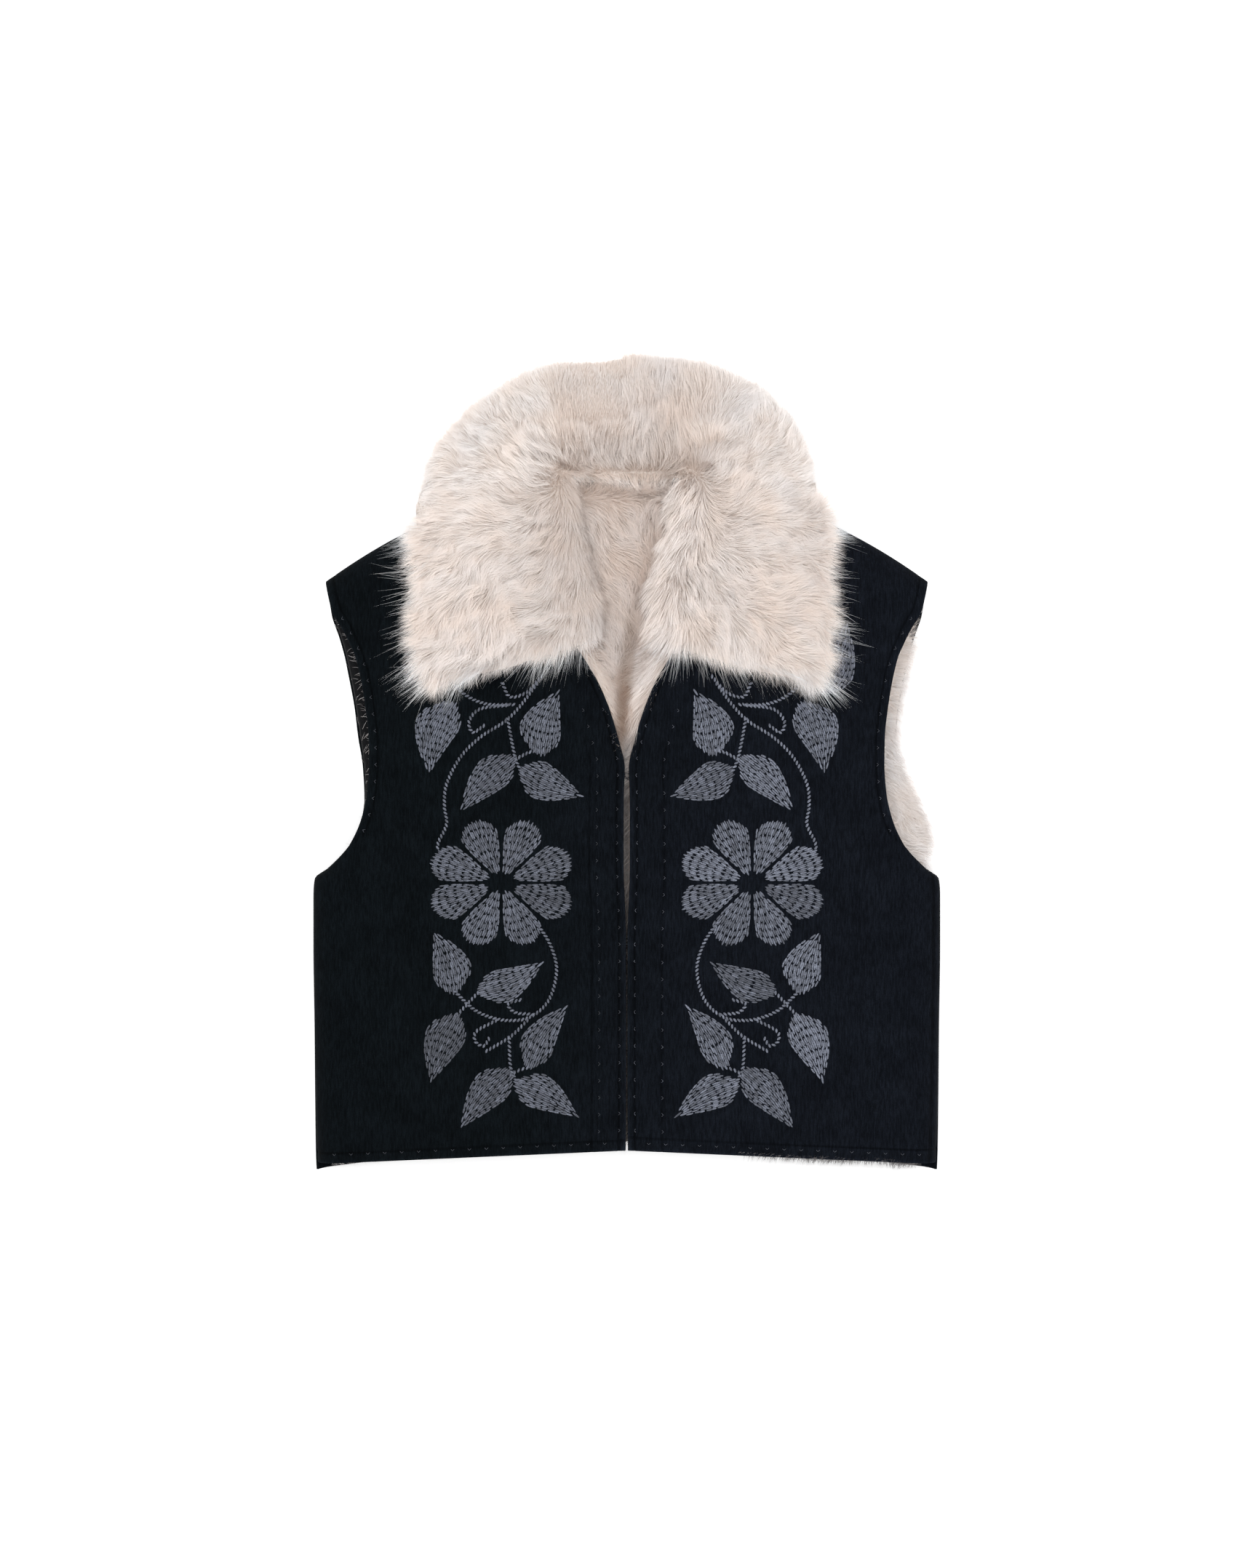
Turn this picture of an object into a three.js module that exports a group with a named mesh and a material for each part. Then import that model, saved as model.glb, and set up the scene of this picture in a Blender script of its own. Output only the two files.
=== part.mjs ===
// A cropped sleeveless vest of felted cloth with a fur lining and a wide fur collar, laid flat on its back.
// Millimetres. +X is the wearer's left, +Y runs from the hem to the collar, +Z is up from the surface below.
// The back lies on that surface, the fronts lie on the back with the two linings between them, and the
// collar lies open: its middle flat behind the neck, its two leaves folded down over the fronts.
import * as THREE from "three";

// Driving sizes
const CLOTH = 2; // felted cloth, with its turned edge
const GAP = 0.3; // between neighbours at seams and where they lie on each other
const FRONT_TOP = 31; // height of the fronts over the surface
const SEAM_HEIGHT = 9; // height of the side and shoulder seams
const SIDE_CURL = 26; // how far in the front bends down to its side seam
const BACK_CURL = 10; // how far in the back bends up to the same seam
const OPEN_EDGE_DROP = 3.5; // how far an open edge of the front hangs below the rest
const EDGE_CURL = 14; // how far in from its free edge the front begins to hang
const NECK_HALF = 60; // how far from the middle the back's shoulder begins to bend up
const LININGS_MEET = 16; // height where the back lining meets the front linings
const NECK_PILE = 18; // height of the back lining where nothing lies on it
const FACING_PILE = 25; // height of the front lining's fur where it rolls out of the neck edge
const FACING_DIP = 4; // how much lower the front lining is beside the hooks
const UNDER_COLLAR = 2.4;
const PAD_EDGE = 8; // thickness of the collar's fur at its rim
const FUR_LUMP = 2.2; // height of the fur's locks on the collar
const MAP_STEP = 2; // cell of the height maps that one layer is laid on another with

// One half of a front, from hem to shoulder: the free edge and the side of each row.
const FRONT_ROWS = [
  { edgeX: 0.8, edgeY: -308.6, sideX: 248.5, sideY: -319.5 },
  { edgeX: 0.8, edgeY: -297, sideX: 249, sideY: -307 },
  { edgeX: 0.5, edgeY: -262, sideX: 250.3, sideY: -266 },
  { edgeX: 0.5, edgeY: -200, sideX: 251.2, sideY: -203 },
  { edgeX: 0.5, edgeY: -145, sideX: 252, sideY: -146 },
  { edgeX: 1.6, edgeY: -106, sideX: 252, sideY: -106 },
  { edgeX: 2.2, edgeY: -92, sideX: 251, sideY: -92 },
  { edgeX: 2.4, edgeY: -79, sideX: 239, sideY: -82.5 },
  { edgeX: 2.4, edgeY: -62, sideX: 221, sideY: -63 },
  { edgeX: 2.4, edgeY: -43, sideX: 212, sideY: -43 },
  { edgeX: 2.2, edgeY: -22, sideX: 207.4, sideY: -22 },
  { edgeX: 1.6, edgeY: -2, sideX: 206, sideY: 0 },
  { edgeX: 6.5, edgeY: 20, sideX: 206.4, sideY: 22 },
  { edgeX: 13, edgeY: 42, sideX: 209, sideY: 46 },
  { edgeX: 22, edgeY: 64, sideX: 213, sideY: 70 },
  { edgeX: 33, edgeY: 83, sideX: 217.5, sideY: 87 },
  { edgeX: 46, edgeY: 103, sideX: 221, sideY: 94 },
  { edgeX: 60, edgeY: 128, sideX: 225, sideY: 102 },
  { edgeX: 72, edgeY: 160, sideX: 229, sideY: 109 },
  { edgeX: 82, edgeY: 200, sideX: 234.5, sideY: 118 },
  { edgeX: 86, edgeY: 231, sideX: 242, sideY: 147 },
];
// One half of the back: its centre line, a line through the neck point, and its side.
const BACK_ROWS = [
  { centreY: -304, neckX: 120, neckY: -309, sideX: 249.5, sideY: -325.5 },
  { centreY: -293, neckX: 120, neckY: -297, sideX: 250, sideY: -312 },
  { centreY: -262, neckX: 118, neckY: -264, sideX: 250.6, sideY: -268 },
  { centreY: -200, neckX: 116, neckY: -201, sideX: 251.2, sideY: -203 },
  { centreY: -145, neckX: 114, neckY: -145, sideX: 252, sideY: -146 },
  { centreY: -106, neckX: 112, neckY: -106, sideX: 252, sideY: -106 },
  { centreY: -92, neckX: 110, neckY: -92, sideX: 251, sideY: -92 },
  { centreY: -79, neckX: 108, neckY: -79, sideX: 241, sideY: -84 },
  { centreY: -62, neckX: 106, neckY: -62, sideX: 227, sideY: -70 },
  { centreY: -43, neckX: 104, neckY: -43, sideX: 216, sideY: -51 },
  { centreY: -22, neckX: 102, neckY: -22, sideX: 211.5, sideY: -28 },
  { centreY: -2, neckX: 100, neckY: -2, sideX: 213, sideY: 0 },
  { centreY: 20, neckX: 98, neckY: 20, sideX: 216.6, sideY: 22 },
  { centreY: 42, neckX: 96, neckY: 42, sideX: 219.5, sideY: 46 },
  { centreY: 64, neckX: 94, neckY: 65, sideX: 224, sideY: 70 },
  { centreY: 88, neckX: 92, neckY: 88, sideX: 227.5, sideY: 87 },
  { centreY: 112, neckX: 90, neckY: 112, sideX: 229.5, sideY: 94 },
  { centreY: 138, neckX: 88, neckY: 138, sideX: 232, sideY: 102 },
  { centreY: 166, neckX: 86, neckY: 168, sideX: 234.5, sideY: 109 },
  { centreY: 197, neckX: 84, neckY: 201, sideX: 237.5, sideY: 118 },
  { centreY: 226, neckX: 86, neckY: 231, sideX: 242, sideY: 147 },
];
const UNDERARM_ROW = 6; // below it the side is sewn, above it the armhole is open
const SHOULDER_ROW = 19; // above it the panels bend to the shoulder seam
const LAST_ROW = FRONT_ROWS.length - 1;
const V_ROW = 11; // above it the fronts part into the neck's V

// The collar from the end of a leaf to the middle of the back: its inner line (the roll of the leaf, then
// the neck seam), its outer line on the wearer's right and left, and the height of its fur.
const collarRow = (innerX, innerY, rightX, leftX, outerY, innerTop, crownTop, outerTop) => {
  return { innerX, innerY, rightX, leftX, outerY, innerTop, crownTop, outerTop };
};
const COLLAR_ROWS = [
  collarRow(35, 92, 151, 151, 59, 43, 52, 43),
  collarRow(23, 105, 170, 162, 80, 45, 56, 45),
  collarRow(23, 129, 172, 165, 108, 45, 58, 45),
  collarRow(30, 155, 170, 162, 136, 45, 58, 44),
  collarRow(35, 180, 168, 159, 163, 44, 57, 42),
  collarRow(40, 203, 170, 161, 189, 43, 55, 38),
  collarRow(44, 220, 168, 154, 214, 41, 52, 33),
  collarRow(46, 229, 159, 147, 238, 36, 47, 29),
  collarRow(42, 232, 145, 139, 262, 28, 42, 26),
  collarRow(35, 232, 122, 124, 285, 22, 37, 25),
  collarRow(27, 231, 96, 100, 304, 20, 34, 24),
  collarRow(17, 230, 60, 62, 319, 19, 32, 24),
  collarRow(0, 229, 0, 0, 326, 19, 31, 24),
];

// Hooks and eyes that close the fronts
const HOOK_HEIGHTS = [-9, -142]; // along Y
const WIRE = 0.55; // half the wire's thickness
const HOOK_LEG = 9;
const HOOK_HALF = 1.6;
const EYE_HALF = 3.2;
const WIRE_STEPS = 14;

const ROUNDING_STEPS = 5; // columns across a bend
const smooth = (t) => THREE.MathUtils.smoothstep(t, 0, 1);
const mix = THREE.MathUtils.lerp;
const radians = THREE.MathUtils.degToRad;

// A column of a table at a row that need not be whole: a cubic that never swings past the rows.
function columnAt(rows, column, row) {
  const last = rows.length - 1;
  const i = Math.min(Math.floor(Math.max(row, 0)), last - 1);
  const t = row - i;
  const at = (k) => rows[THREE.MathUtils.clamp(k, 0, last)][column];
  const rise = (k) => (k < 0 || k >= last ? at(i + 1) - at(i) : at(k + 1) - at(k));
  const slope = (a, b) => (a * b <= 0 ? 0 : (2 * a * b) / (a + b));
  const here = rise(i);
  const m0 = i === 0 ? here : slope(rise(i - 1), here);
  const m1 = i + 1 === last ? here : slope(here, rise(i + 1));
  const t2 = t * t;
  const t3 = t2 * t;
  const start = (2 * t3 - 3 * t2 + 1) * at(i) + (t3 - 2 * t2 + t) * m0;
  return start + (3 * t2 - 2 * t3) * at(i + 1) + (t3 - t2) * m1;
}

const placeAt = (rows, x, y, row) => new THREE.Vector2(columnAt(rows, x, row), columnAt(rows, y, row));

// Closes two grids of points, one over the other, into a solid with a rim round its four sides.
function closedSolid(upper, lower) {
  const rows = upper.length;
  const columns = upper[0].length;
  const points = [...upper.flat(), ...lower.flat()];
  const under = rows * columns;
  const faces = [];
  const quad = (a, b, c, d) => faces.push(a, b, c, a, c, d);
  const at = (i, j) => i * columns + j;
  for (let i = 0; i < rows - 1; i++)
    for (let j = 0; j < columns - 1; j++) {
      quad(at(i, j), at(i, j + 1), at(i + 1, j + 1), at(i + 1, j));
      quad(under + at(i, j), under + at(i + 1, j), under + at(i + 1, j + 1), under + at(i, j + 1));
    }
  const rim = [];
  for (let j = 0; j < columns - 1; j++) rim.push(at(0, j));
  for (let i = 0; i < rows - 1; i++) rim.push(at(i, columns - 1));
  for (let j = columns - 1; j > 0; j--) rim.push(at(rows - 1, j));
  for (let i = rows - 1; i > 0; i--) rim.push(at(i, 0));
  rim.forEach((a, k) => {
    const b = rim[(k + 1) % rim.length];
    quad(a, under + a, under + b, b);
  });
  return facingOut(points, faces);
}

// The geometry of these faces, turned round if they enclose a negative volume.
function facingOut(points, faces) {
  let volume = 0;
  for (let k = 0; k < faces.length; k += 3)
    volume += points[faces[k]].dot(points[faces[k + 1]].clone().cross(points[faces[k + 2]]));
  if (volume < 0) faces.reverse();
  return new THREE.BufferGeometry().setFromPoints(points).setIndex(faces);
}

// Heights of the layers already laid, so that the next one can lie on or under them.
class HeightMap {
  constructor() {
    this.cells = new Map();
  }
  key(x, y) {
    return Math.round(x / MAP_STEP) * 4096 + Math.round(y / MAP_STEP);
  }
  add(geometry) {
    const points = geometry.getAttribute("position");
    const index = geometry.getIndex();
    const corner = (k) => new THREE.Vector3().fromBufferAttribute(points, index.getX(k));
    const snap = (value) => Math.round(value / MAP_STEP) * MAP_STEP;
    for (let k = 0; k < index.count; k += 3) {
      const triangle = new THREE.Triangle(corner(k), corner(k + 1), corner(k + 2));
      const box = new THREE.Box3().setFromPoints([triangle.a, triangle.b, triangle.c]);
      for (let x = snap(box.min.x); x <= box.max.x + MAP_STEP; x += MAP_STEP)
        for (let y = snap(box.min.y); y <= box.max.y + MAP_STEP; y += MAP_STEP) this.touch(triangle, x, y);
    }
    return this;
  }
  touch(triangle, x, y) {
    const near = new THREE.Vector3();
    const level = (triangle.a.z + triangle.b.z + triangle.c.z) / 3;
    triangle.closestPointToPoint(new THREE.Vector3(x, y, level), near);
    if (Math.hypot(near.x - x, near.y - y) > MAP_STEP) return;
    const cell = this.cells.get(this.key(x, y)) ?? { low: Infinity, high: -Infinity };
    cell.low = Math.min(cell.low, near.z);
    cell.high = Math.max(cell.high, near.z);
    this.cells.set(this.key(x, y), cell);
  }
  reach(x, y, radius, pick, start) {
    let found = start;
    for (let u = -radius; u <= radius; u += MAP_STEP)
      for (let v = -radius; v <= radius; v += MAP_STEP) {
        const cell = this.cells.get(this.key(x + u, y + v));
        if (cell) found = pick(found, cell);
      }
    return found;
  }
  highest(x, y, radius) {
    return this.reach(x, y, radius, (found, cell) => Math.max(found, cell.high), 0);
  }
  lowest(x, y, radius, ceiling) {
    return this.reach(x, y, radius, (found, cell) => Math.min(found, cell.low), ceiling);
  }
}

// Rows of a panel: more of them where it bends, at the hem and up the armhole.
function rowStops(perRow) {
  const stops = [];
  for (let i = 0; i < SHOULDER_ROW; i++)
    for (let k = 0; k < perRow(i); k++) stops.push(i + k / perRow(i));
  for (let k = 0; k <= ROUNDING_STEPS; k++)
    stops.push(SHOULDER_ROW + Math.sin((k / ROUNDING_STEPS) * (Math.PI / 2)));
  return stops;
}
const bodyRows = rowStops((i) => (i === 2 || i === 3 ? 2 : 1));

// How far the sewn side gives way to the open armhole, and how far a bend has come at an angle along it.
const openness = (row) => smooth((row - UNDERARM_ROW) / 2.5);
const shoulderBend = (row) => (row <= SHOULDER_ROW ? 0 : Math.asin(Math.min(1, row - SHOULDER_ROW)));

// Small unevenness of cloth that lies on fur
function swell(x, y) {
  const broad = 0.9 * Math.sin(x / 31 + y / 57) * Math.cos(y / 43 - x / 71);
  return broad + 0.4 * Math.sin(x / 17 - y / 23);
}

// A point of a front's outer face. across runs from the free edge to the bend, then turn is the angle
// round it.
function frontPoint(side, row, across, turn) {
  const edge = placeAt(FRONT_ROWS, "edgeX", "edgeY", row);
  const outer = placeAt(FRONT_ROWS, "sideX", "sideY", row);
  const width = edge.distanceTo(outer);
  const fromSide = SIDE_CURL * (1 - Math.sin(turn)) + (width - SIDE_CURL) * (1 - across);
  const place = outer.clone().lerp(edge, fromSide / width);
  const sewn = 1 - openness(row);
  const seam = SEAM_HEIGHT + GAP / 2;
  const sideFall = 1 - Math.cos(turn);
  const hemFall = 1 - smooth(row);
  const edgeFall = 1 - smooth((width - fromSide) / EDGE_CURL);
  const bend = 1 - Math.cos(shoulderBend(row));
  const open = Math.max(hemFall, edgeFall, sideFall * (1 - sewn)) * OPEN_EDGE_DROP * (1 - bend);
  const left = (1 - sideFall * sewn) * (1 - bend);
  const lift = swell(side * place.x, place.y) * left * (1 - hemFall);
  const height = seam + (FRONT_TOP - seam - open) * left + lift;
  return new THREE.Vector3(side * place.x, place.y, height);
}

// The outer face's point moved in by a thickness, square to the face.
function wallPoint(point, side, row, across, turn, thickness) {
  const step = 1e-3;
  const here = point(row, across, turn);
  const back = row > LAST_ROW - step ? -step : step;
  const alongRow = point(row + back, across, turn).sub(here).multiplyScalar(back);
  const inBend = turn > 0 || across >= 1;
  const ahead = inBend ? point(row, across, turn + step) : point(row, across + step, turn);
  const along = ahead.sub(here);
  const normal = along.cross(alongRow).normalize();
  return here.addScaledVector(normal, -side * thickness);
}

const FLAT_COLUMNS = [0, 0.025, 0.07, 0.2, 0.36, 0.52, 0.68, 0.84];
const bendColumn = (k) => ({ across: 1, turn: radians((90 * k) / ROUNDING_STEPS) });
const FRONT_COLUMNS = [
  ...FLAT_COLUMNS.map((across) => ({ across, turn: 0 })),
  ...Array.from({ length: ROUNDING_STEPS + 1 }, (_, k) => bendColumn(k)),
];

function frontShell(side) {
  const point = (row, across, turn) => frontPoint(side, row, across, turn);
  const at = (row, c, thickness) => wallPoint(point, side, row, c.across, c.turn, thickness);
  const grid = (thickness) => bodyRows.map((row) => FRONT_COLUMNS.map((c) => at(row, c, thickness)));
  return closedSolid(grid(0), grid(CLOTH));
}

// Where a point of the back's half lies in plan. share runs from the centre line to the side.
function backPlan(row, share, inset = 0) {
  const at = (column) => columnAt(BACK_ROWS, column, row);
  const neckShare = at("neckX") / at("sideX");
  const side = new THREE.Vector2(at("sideX") - inset, at("sideY"));
  const neck = new THREE.Vector2(at("neckX"), at("neckY"));
  const centre = new THREE.Vector2(0, at("centreY"));
  return share < neckShare
    ? centre.lerp(neck, share / neckShare)
    : neck.lerp(side, (share - neckShare) / (1 - neckShare));
}

// Columns of the back's half: even ones, then the bend at the side.
const BACK_SHARES = [0, 0.12, 0.24, 0.36, 0.5, 0.64, 0.78, 0.9];
const SHOULDER_SLOPE = { x: 0.47, y: 0.88 }; // square to the shoulder seam
function backShell() {
  const turns = Array.from({ length: 4 }, (_, k) => (k / 3) * (Math.PI / 2));
  const halfColumns = [
    ...BACK_SHARES.map((share) => ({ share, turn: 0 })),
    ...turns.map((turn) => ({ share: null, turn })),
  ];
  const columns = [
    ...halfColumns
      .slice(1)
      .reverse()
      .map((c) => ({ ...c, side: -1 })),
    ...halfColumns.map((c) => ({ ...c, side: 1 })),
  ];
  const point = ({ share, turn, side }, row, thickness) => {
    const reach = columnAt(BACK_ROWS, "sideX", row);
    const sewn = 1 - openness(row);
    const bentIn = BACK_CURL * (1 - Math.sin(turn));
    const place = backPlan(row, share ?? 1 - bentIn / reach);
    const sideRise = (1 - Math.cos(turn)) * sewn;
    const neck = 1 - smooth((place.x - NECK_HALF) / 40);
    const shoulderRise = (1 - Math.cos(shoulderBend(row))) * (1 - neck);
    const rise = 1 - (1 - sideRise) * (1 - shoulderRise);
    const height = (SEAM_HEIGHT - GAP / 2) * rise;
    // The wall's thickness turns from upright to level as the cloth bends up to the seam.
    const level = thickness * Math.sin(turn) * sewn;
    const along = thickness * Math.sin(shoulderBend(row)) * (1 - neck);
    const upright = thickness * Math.sqrt(Math.max(0, 1 - Math.max(sideRise, shoulderRise) ** 2));
    const x = side * (place.x - level - along * SHOULDER_SLOPE.x);
    return new THREE.Vector3(x, place.y - along * SHOULDER_SLOPE.y, height + upright);
  };
  const grid = (thickness) => bodyRows.map((row) => columns.map((c) => point(c, row, thickness)));
  return closedSolid(grid(CLOTH), grid(0));
}

// The fur lining of the back. Its pile fills the space up to the front linings, stands free in the neck and
// swells out of the wearer's left armhole.
const LINING_INSET = 7;
const ARMHOLE_SWELL = 30;
const SWELL_MIDDLE = -52;
const SWELL_REACH = 78;
const LINING_SHARES = [0, 0.1, 0.2, 0.32, 0.45, 0.6, 0.75, 0.87, 0.95, 1];
const liningRows = bodyRows.filter((row) => row <= SHOULDER_ROW + 0.75);

function backLining(shell) {
  const map = new HeightMap().add(shell);
  const columns = [
    ...LINING_SHARES.slice(1)
      .reverse()
      .map((share) => ({ share, side: -1 })),
    ...LINING_SHARES.map((share) => ({ share, side: 1 })),
  ];
  const plan = ({ share, side }, row) => {
    const sewn = 1 - openness(row);
    const nearSwell = 1 - smooth(Math.abs(columnAt(BACK_ROWS, "sideY", row) - SWELL_MIDDLE) / SWELL_REACH);
    const swollen = side > 0 ? ARMHOLE_SWELL * nearSwell * smooth((row - UNDERARM_ROW - 1) / 1.6) : 0;
    const place = backPlan(row, share, LINING_INSET * sewn + 1.5 * (1 - sewn) - swollen);
    const hem = 4 * (1 - smooth(row));
    return new THREE.Vector2(side * place.x, place.y + hem - (row === LAST_ROW ? 1 : 0));
  };
  const floor = (c, row) => {
    const place = plan(c, row);
    return new THREE.Vector3(place.x, place.y, map.highest(place.x, place.y, 10) + GAP);
  };
  const top = (c, row) => {
    const low = floor(c, row);
    const rim = smooth((1 - c.share) * 9) * smooth((LAST_ROW - row) * 3 + 0.3);
    const inNeck = (1 - smooth((Math.abs(low.x) - 70) / 30)) * smooth((row - V_ROW) / 1.5);
    const pile = mix(LININGS_MEET, NECK_PILE, inNeck) + 0.5 * inNeck * Math.sin(low.y / 11 + low.x / 9);
    return new THREE.Vector3(low.x, low.y, Math.max(low.z + 4, mix(low.z + 6, pile, rim)));
  };
  return closedSolid(
    liningRows.map((row) => columns.map((c) => top(c, row))),
    liningRows.map((row) => columns.map((c) => floor(c, row))),
  );
}

// The fur lining of one front, between the back lining and the cloth. In the V it rolls out past the
// cloth's edge.
const ROLL_OUT = 11;
const FRONT_LINING_SHARES = [0, 0.03, 0.07, 0.13, 0.25, 0.4, 0.55, 0.7, 0.84, 0.94, 1];
function frontLining(side, shell, below) {
  const ceilingMap = new HeightMap().add(shell);
  const floorMap = new HeightMap().add(below);
  const plan = (row, share) => {
    const at = (column) => columnAt(FRONT_ROWS, column, row);
    const sewn = 1 - openness(row);
    const rolled = ROLL_OUT * smooth((row - V_ROW) / 3) * (1 - smooth((row - V_ROW - 6) / 3));
    const edge = new THREE.Vector2(Math.max(0.25, at("edgeX") - rolled), at("edgeY"));
    const outer = new THREE.Vector2(at("sideX") - mix(2, LINING_INSET + 5, sewn), at("sideY"));
    const place = edge.lerp(outer, share);
    place.y += 5 * (1 - smooth(row));
    return place;
  };
  const floor = (row, share) => {
    const place = plan(row, share);
    const high = floorMap.highest(side * place.x, place.y, 14);
    return new THREE.Vector3(side * place.x, place.y, Math.max(high, LININGS_MEET) + GAP);
  };
  const top = (row, share) => {
    const low = floor(row, share);
    const fromEdge = Math.abs(low.x) - columnAt(FRONT_ROWS, "edgeX", row);
    const free = FACING_PILE - 5 * (1 - smooth((share + 0.02) / 0.06));
    const dip = FACING_DIP * (1 - smooth((fromEdge - 10) / 8)) * (1 - smooth((row - V_ROW) / 1.5));
    const ceiling = ceilingMap.lowest(low.x, low.y, 5, free) - GAP - dip;
    return new THREE.Vector3(low.x, low.y, Math.max(low.z + 1.5, ceiling));
  };
  return closedSolid(
    liningRows.map((row) => FRONT_LINING_SHARES.map((share) => top(row, share))),
    liningRows.map((row) => FRONT_LINING_SHARES.map((share) => floor(row, share))),
  );
}

// The collar. around runs from the end of the wearer's right leaf (-1) to that of the left (1), and across
// from its inner line (0) to its outer line (1).
const COLLAR_LAST = COLLAR_ROWS.length - 1;
function collarPlan(around, across) {
  const row = COLLAR_LAST * (1 - Math.abs(around));
  const side = Math.sign(around) || 1;
  const inner = placeAt(COLLAR_ROWS, "innerX", "innerY", row);
  const outer = placeAt(COLLAR_ROWS, side > 0 ? "leftX" : "rightX", "outerY", row);
  const place = inner.lerp(outer, across);
  // The leaf's lower edge bows a little, and its corner is rounded.
  const end = 1 - smooth(row / 1.2);
  place.y -= 4 * end * Math.sin(Math.PI * across);
  return new THREE.Vector2(side * place.x, place.y);
}

function collarSolid(floorMap, arounds, acrosses, heightOf, inset) {
  const place = (around, across) => collarPlan(around * (1 - inset), mix(inset / 3, 1 - inset, across));
  const floor = (around, across) => {
    const p = place(around, across);
    return new THREE.Vector3(p.x, p.y, floorMap.highest(p.x, p.y, 8) + GAP);
  };
  const top = (around, across) => {
    const low = floor(around, across);
    return low.clone().setZ(heightOf(around, across, low));
  };
  return closedSolid(
    arounds.map((a) => acrosses.map((c) => top(a, c))),
    arounds.map((a) => acrosses.map((c) => floor(a, c))),
  );
}

const evenly = (count, from, to) => Array.from({ length: count + 1 }, (_, k) => mix(from, to, k / count));

function underCollar(floorMap) {
  const heightOf = (around, across, low) => low.z + UNDER_COLLAR;
  return collarSolid(floorMap, evenly(40, -1, 1), evenly(9, 0, 1), heightOf, 0.025);
}

// Locks of the collar's fur: ridges that run from its inner line to its outer line, broken up on the way.
function furLump(around, across) {
  const ridge = Math.sin(around * 47 + 2.1 * Math.sin(across * 5 + around * 9));
  const broken = Math.sin(across * 13 + around * 19) * Math.cos(around * 31 - across * 7);
  return FUR_LUMP * (0.55 * ridge + 0.45 * broken);
}

function furCollar(floorMap) {
  const acrosses = [0, 0.05, 0.12, 0.22, 0.34, 0.46, 0.58, 0.7, 0.8, 0.88, 0.94, 0.98, 1];
  const heightOf = (around, across, low) => {
    const row = COLLAR_LAST * (1 - Math.abs(around));
    const at = (column) => columnAt(COLLAR_ROWS, column, row);
    const inner = mix(at("innerTop"), at("crownTop"), smooth(across / 0.34));
    const crown = mix(inner, at("outerTop"), smooth((across - 0.45) / 0.55) ** 1.2);
    const rim = Math.min(smooth((across + 0.012) / 0.1), smooth((1.006 - across) / 0.12));
    const end = smooth((row + 0.05) / 0.55);
    const full = crown + furLump(around, across) * rim * end;
    return Math.max(low.z + PAD_EDGE * 0.6, mix(low.z + PAD_EDGE, full, Math.sqrt(Math.min(rim, end))));
  };
  return collarSolid(floorMap, evenly(72, -1, 1), acrosses, heightOf, 0);
}

// Bent wire: a round section carried along a smooth line through these points.
function wire(points) {
  const corner = (k) => new THREE.Vector2(Math.cos((k * Math.PI) / 4), Math.sin((k * Math.PI) / 4));
  const corners = Array.from({ length: 8 }, (_, k) => corner(k).multiplyScalar(WIRE));
  const path = new THREE.CatmullRomCurve3(points, false, "catmullrom", 0.4);
  const options = { steps: WIRE_STEPS, extrudePath: path, bevelEnabled: false };
  return new THREE.ExtrudeGeometry(new THREE.Shape(corners), options);
}

// Where wire sewn under a front's cloth lies, at a distance from the free edge.
function sewnUnder(side, y, fromEdge) {
  let row = 0;
  while (columnAt(FRONT_ROWS, "edgeY", row) < y) row += 0.01;
  const across = fromEdge / (columnAt(FRONT_ROWS, "sideX", row) - SIDE_CURL);
  const point = (r, a, turn) => frontPoint(side, r, a, turn);
  return wallPoint(point, side, row, across, 0, CLOTH).z - WIRE - GAP;
}

// The hook is sewn under the right front and reaches over the gap. The eye, sewn under the left front,
// passes below it.
function hook(y) {
  const edge = Math.min(sewnUnder(-1, y, 0), sewnUnder(1, y, 0));
  const at = (x, up, z) => new THREE.Vector3(x, y + up, z);
  return wire([
    at(-HOOK_LEG, -HOOK_HALF, sewnUnder(-1, y, HOOK_LEG - 2)),
    at(-4, -HOOK_HALF, edge + 0.2),
    at(1.6, -HOOK_HALF, edge),
    at(3.2, 0, edge),
    at(1.6, HOOK_HALF, edge),
    at(-4, HOOK_HALF, edge + 0.2),
    at(-HOOK_LEG, HOOK_HALF, sewnUnder(-1, y, HOOK_LEG - 2)),
  ]);
}
function eye(y) {
  const leg = sewnUnder(1, y, HOOK_LEG - 2);
  const low = Math.min(sewnUnder(-1, y, 0), sewnUnder(1, y, 0)) - 2 * WIRE - GAP;
  const at = (x, up, z) => new THREE.Vector3(x, y + up, z);
  return wire([
    at(HOOK_LEG, -EYE_HALF, leg),
    at(4, -EYE_HALF, low + 0.3),
    at(-0.2, -EYE_HALF * 0.8, low),
    at(-1.6, 0, low),
    at(-0.2, EYE_HALF * 0.8, low),
    at(4, EYE_HALF, low + 0.3),
    at(HOOK_LEG, EYE_HALF, leg),
  ]);
}

const cloth = () => new THREE.MeshStandardMaterial({ color: 0x14171c, roughness: 0.95, metalness: 0 });
const fur = () => new THREE.MeshStandardMaterial({ color: 0xe6dad2, roughness: 0.9, metalness: 0 });
const blackWire = () => new THREE.MeshStandardMaterial({ color: 0x101012, roughness: 0.4, metalness: 0.8 });

const vest = new THREE.Group();
function addPiece(name, geometry, material) {
  const mesh = new THREE.Mesh(geometry, material);
  mesh.name = name;
  vest.add(mesh);
  return geometry;
}

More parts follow.
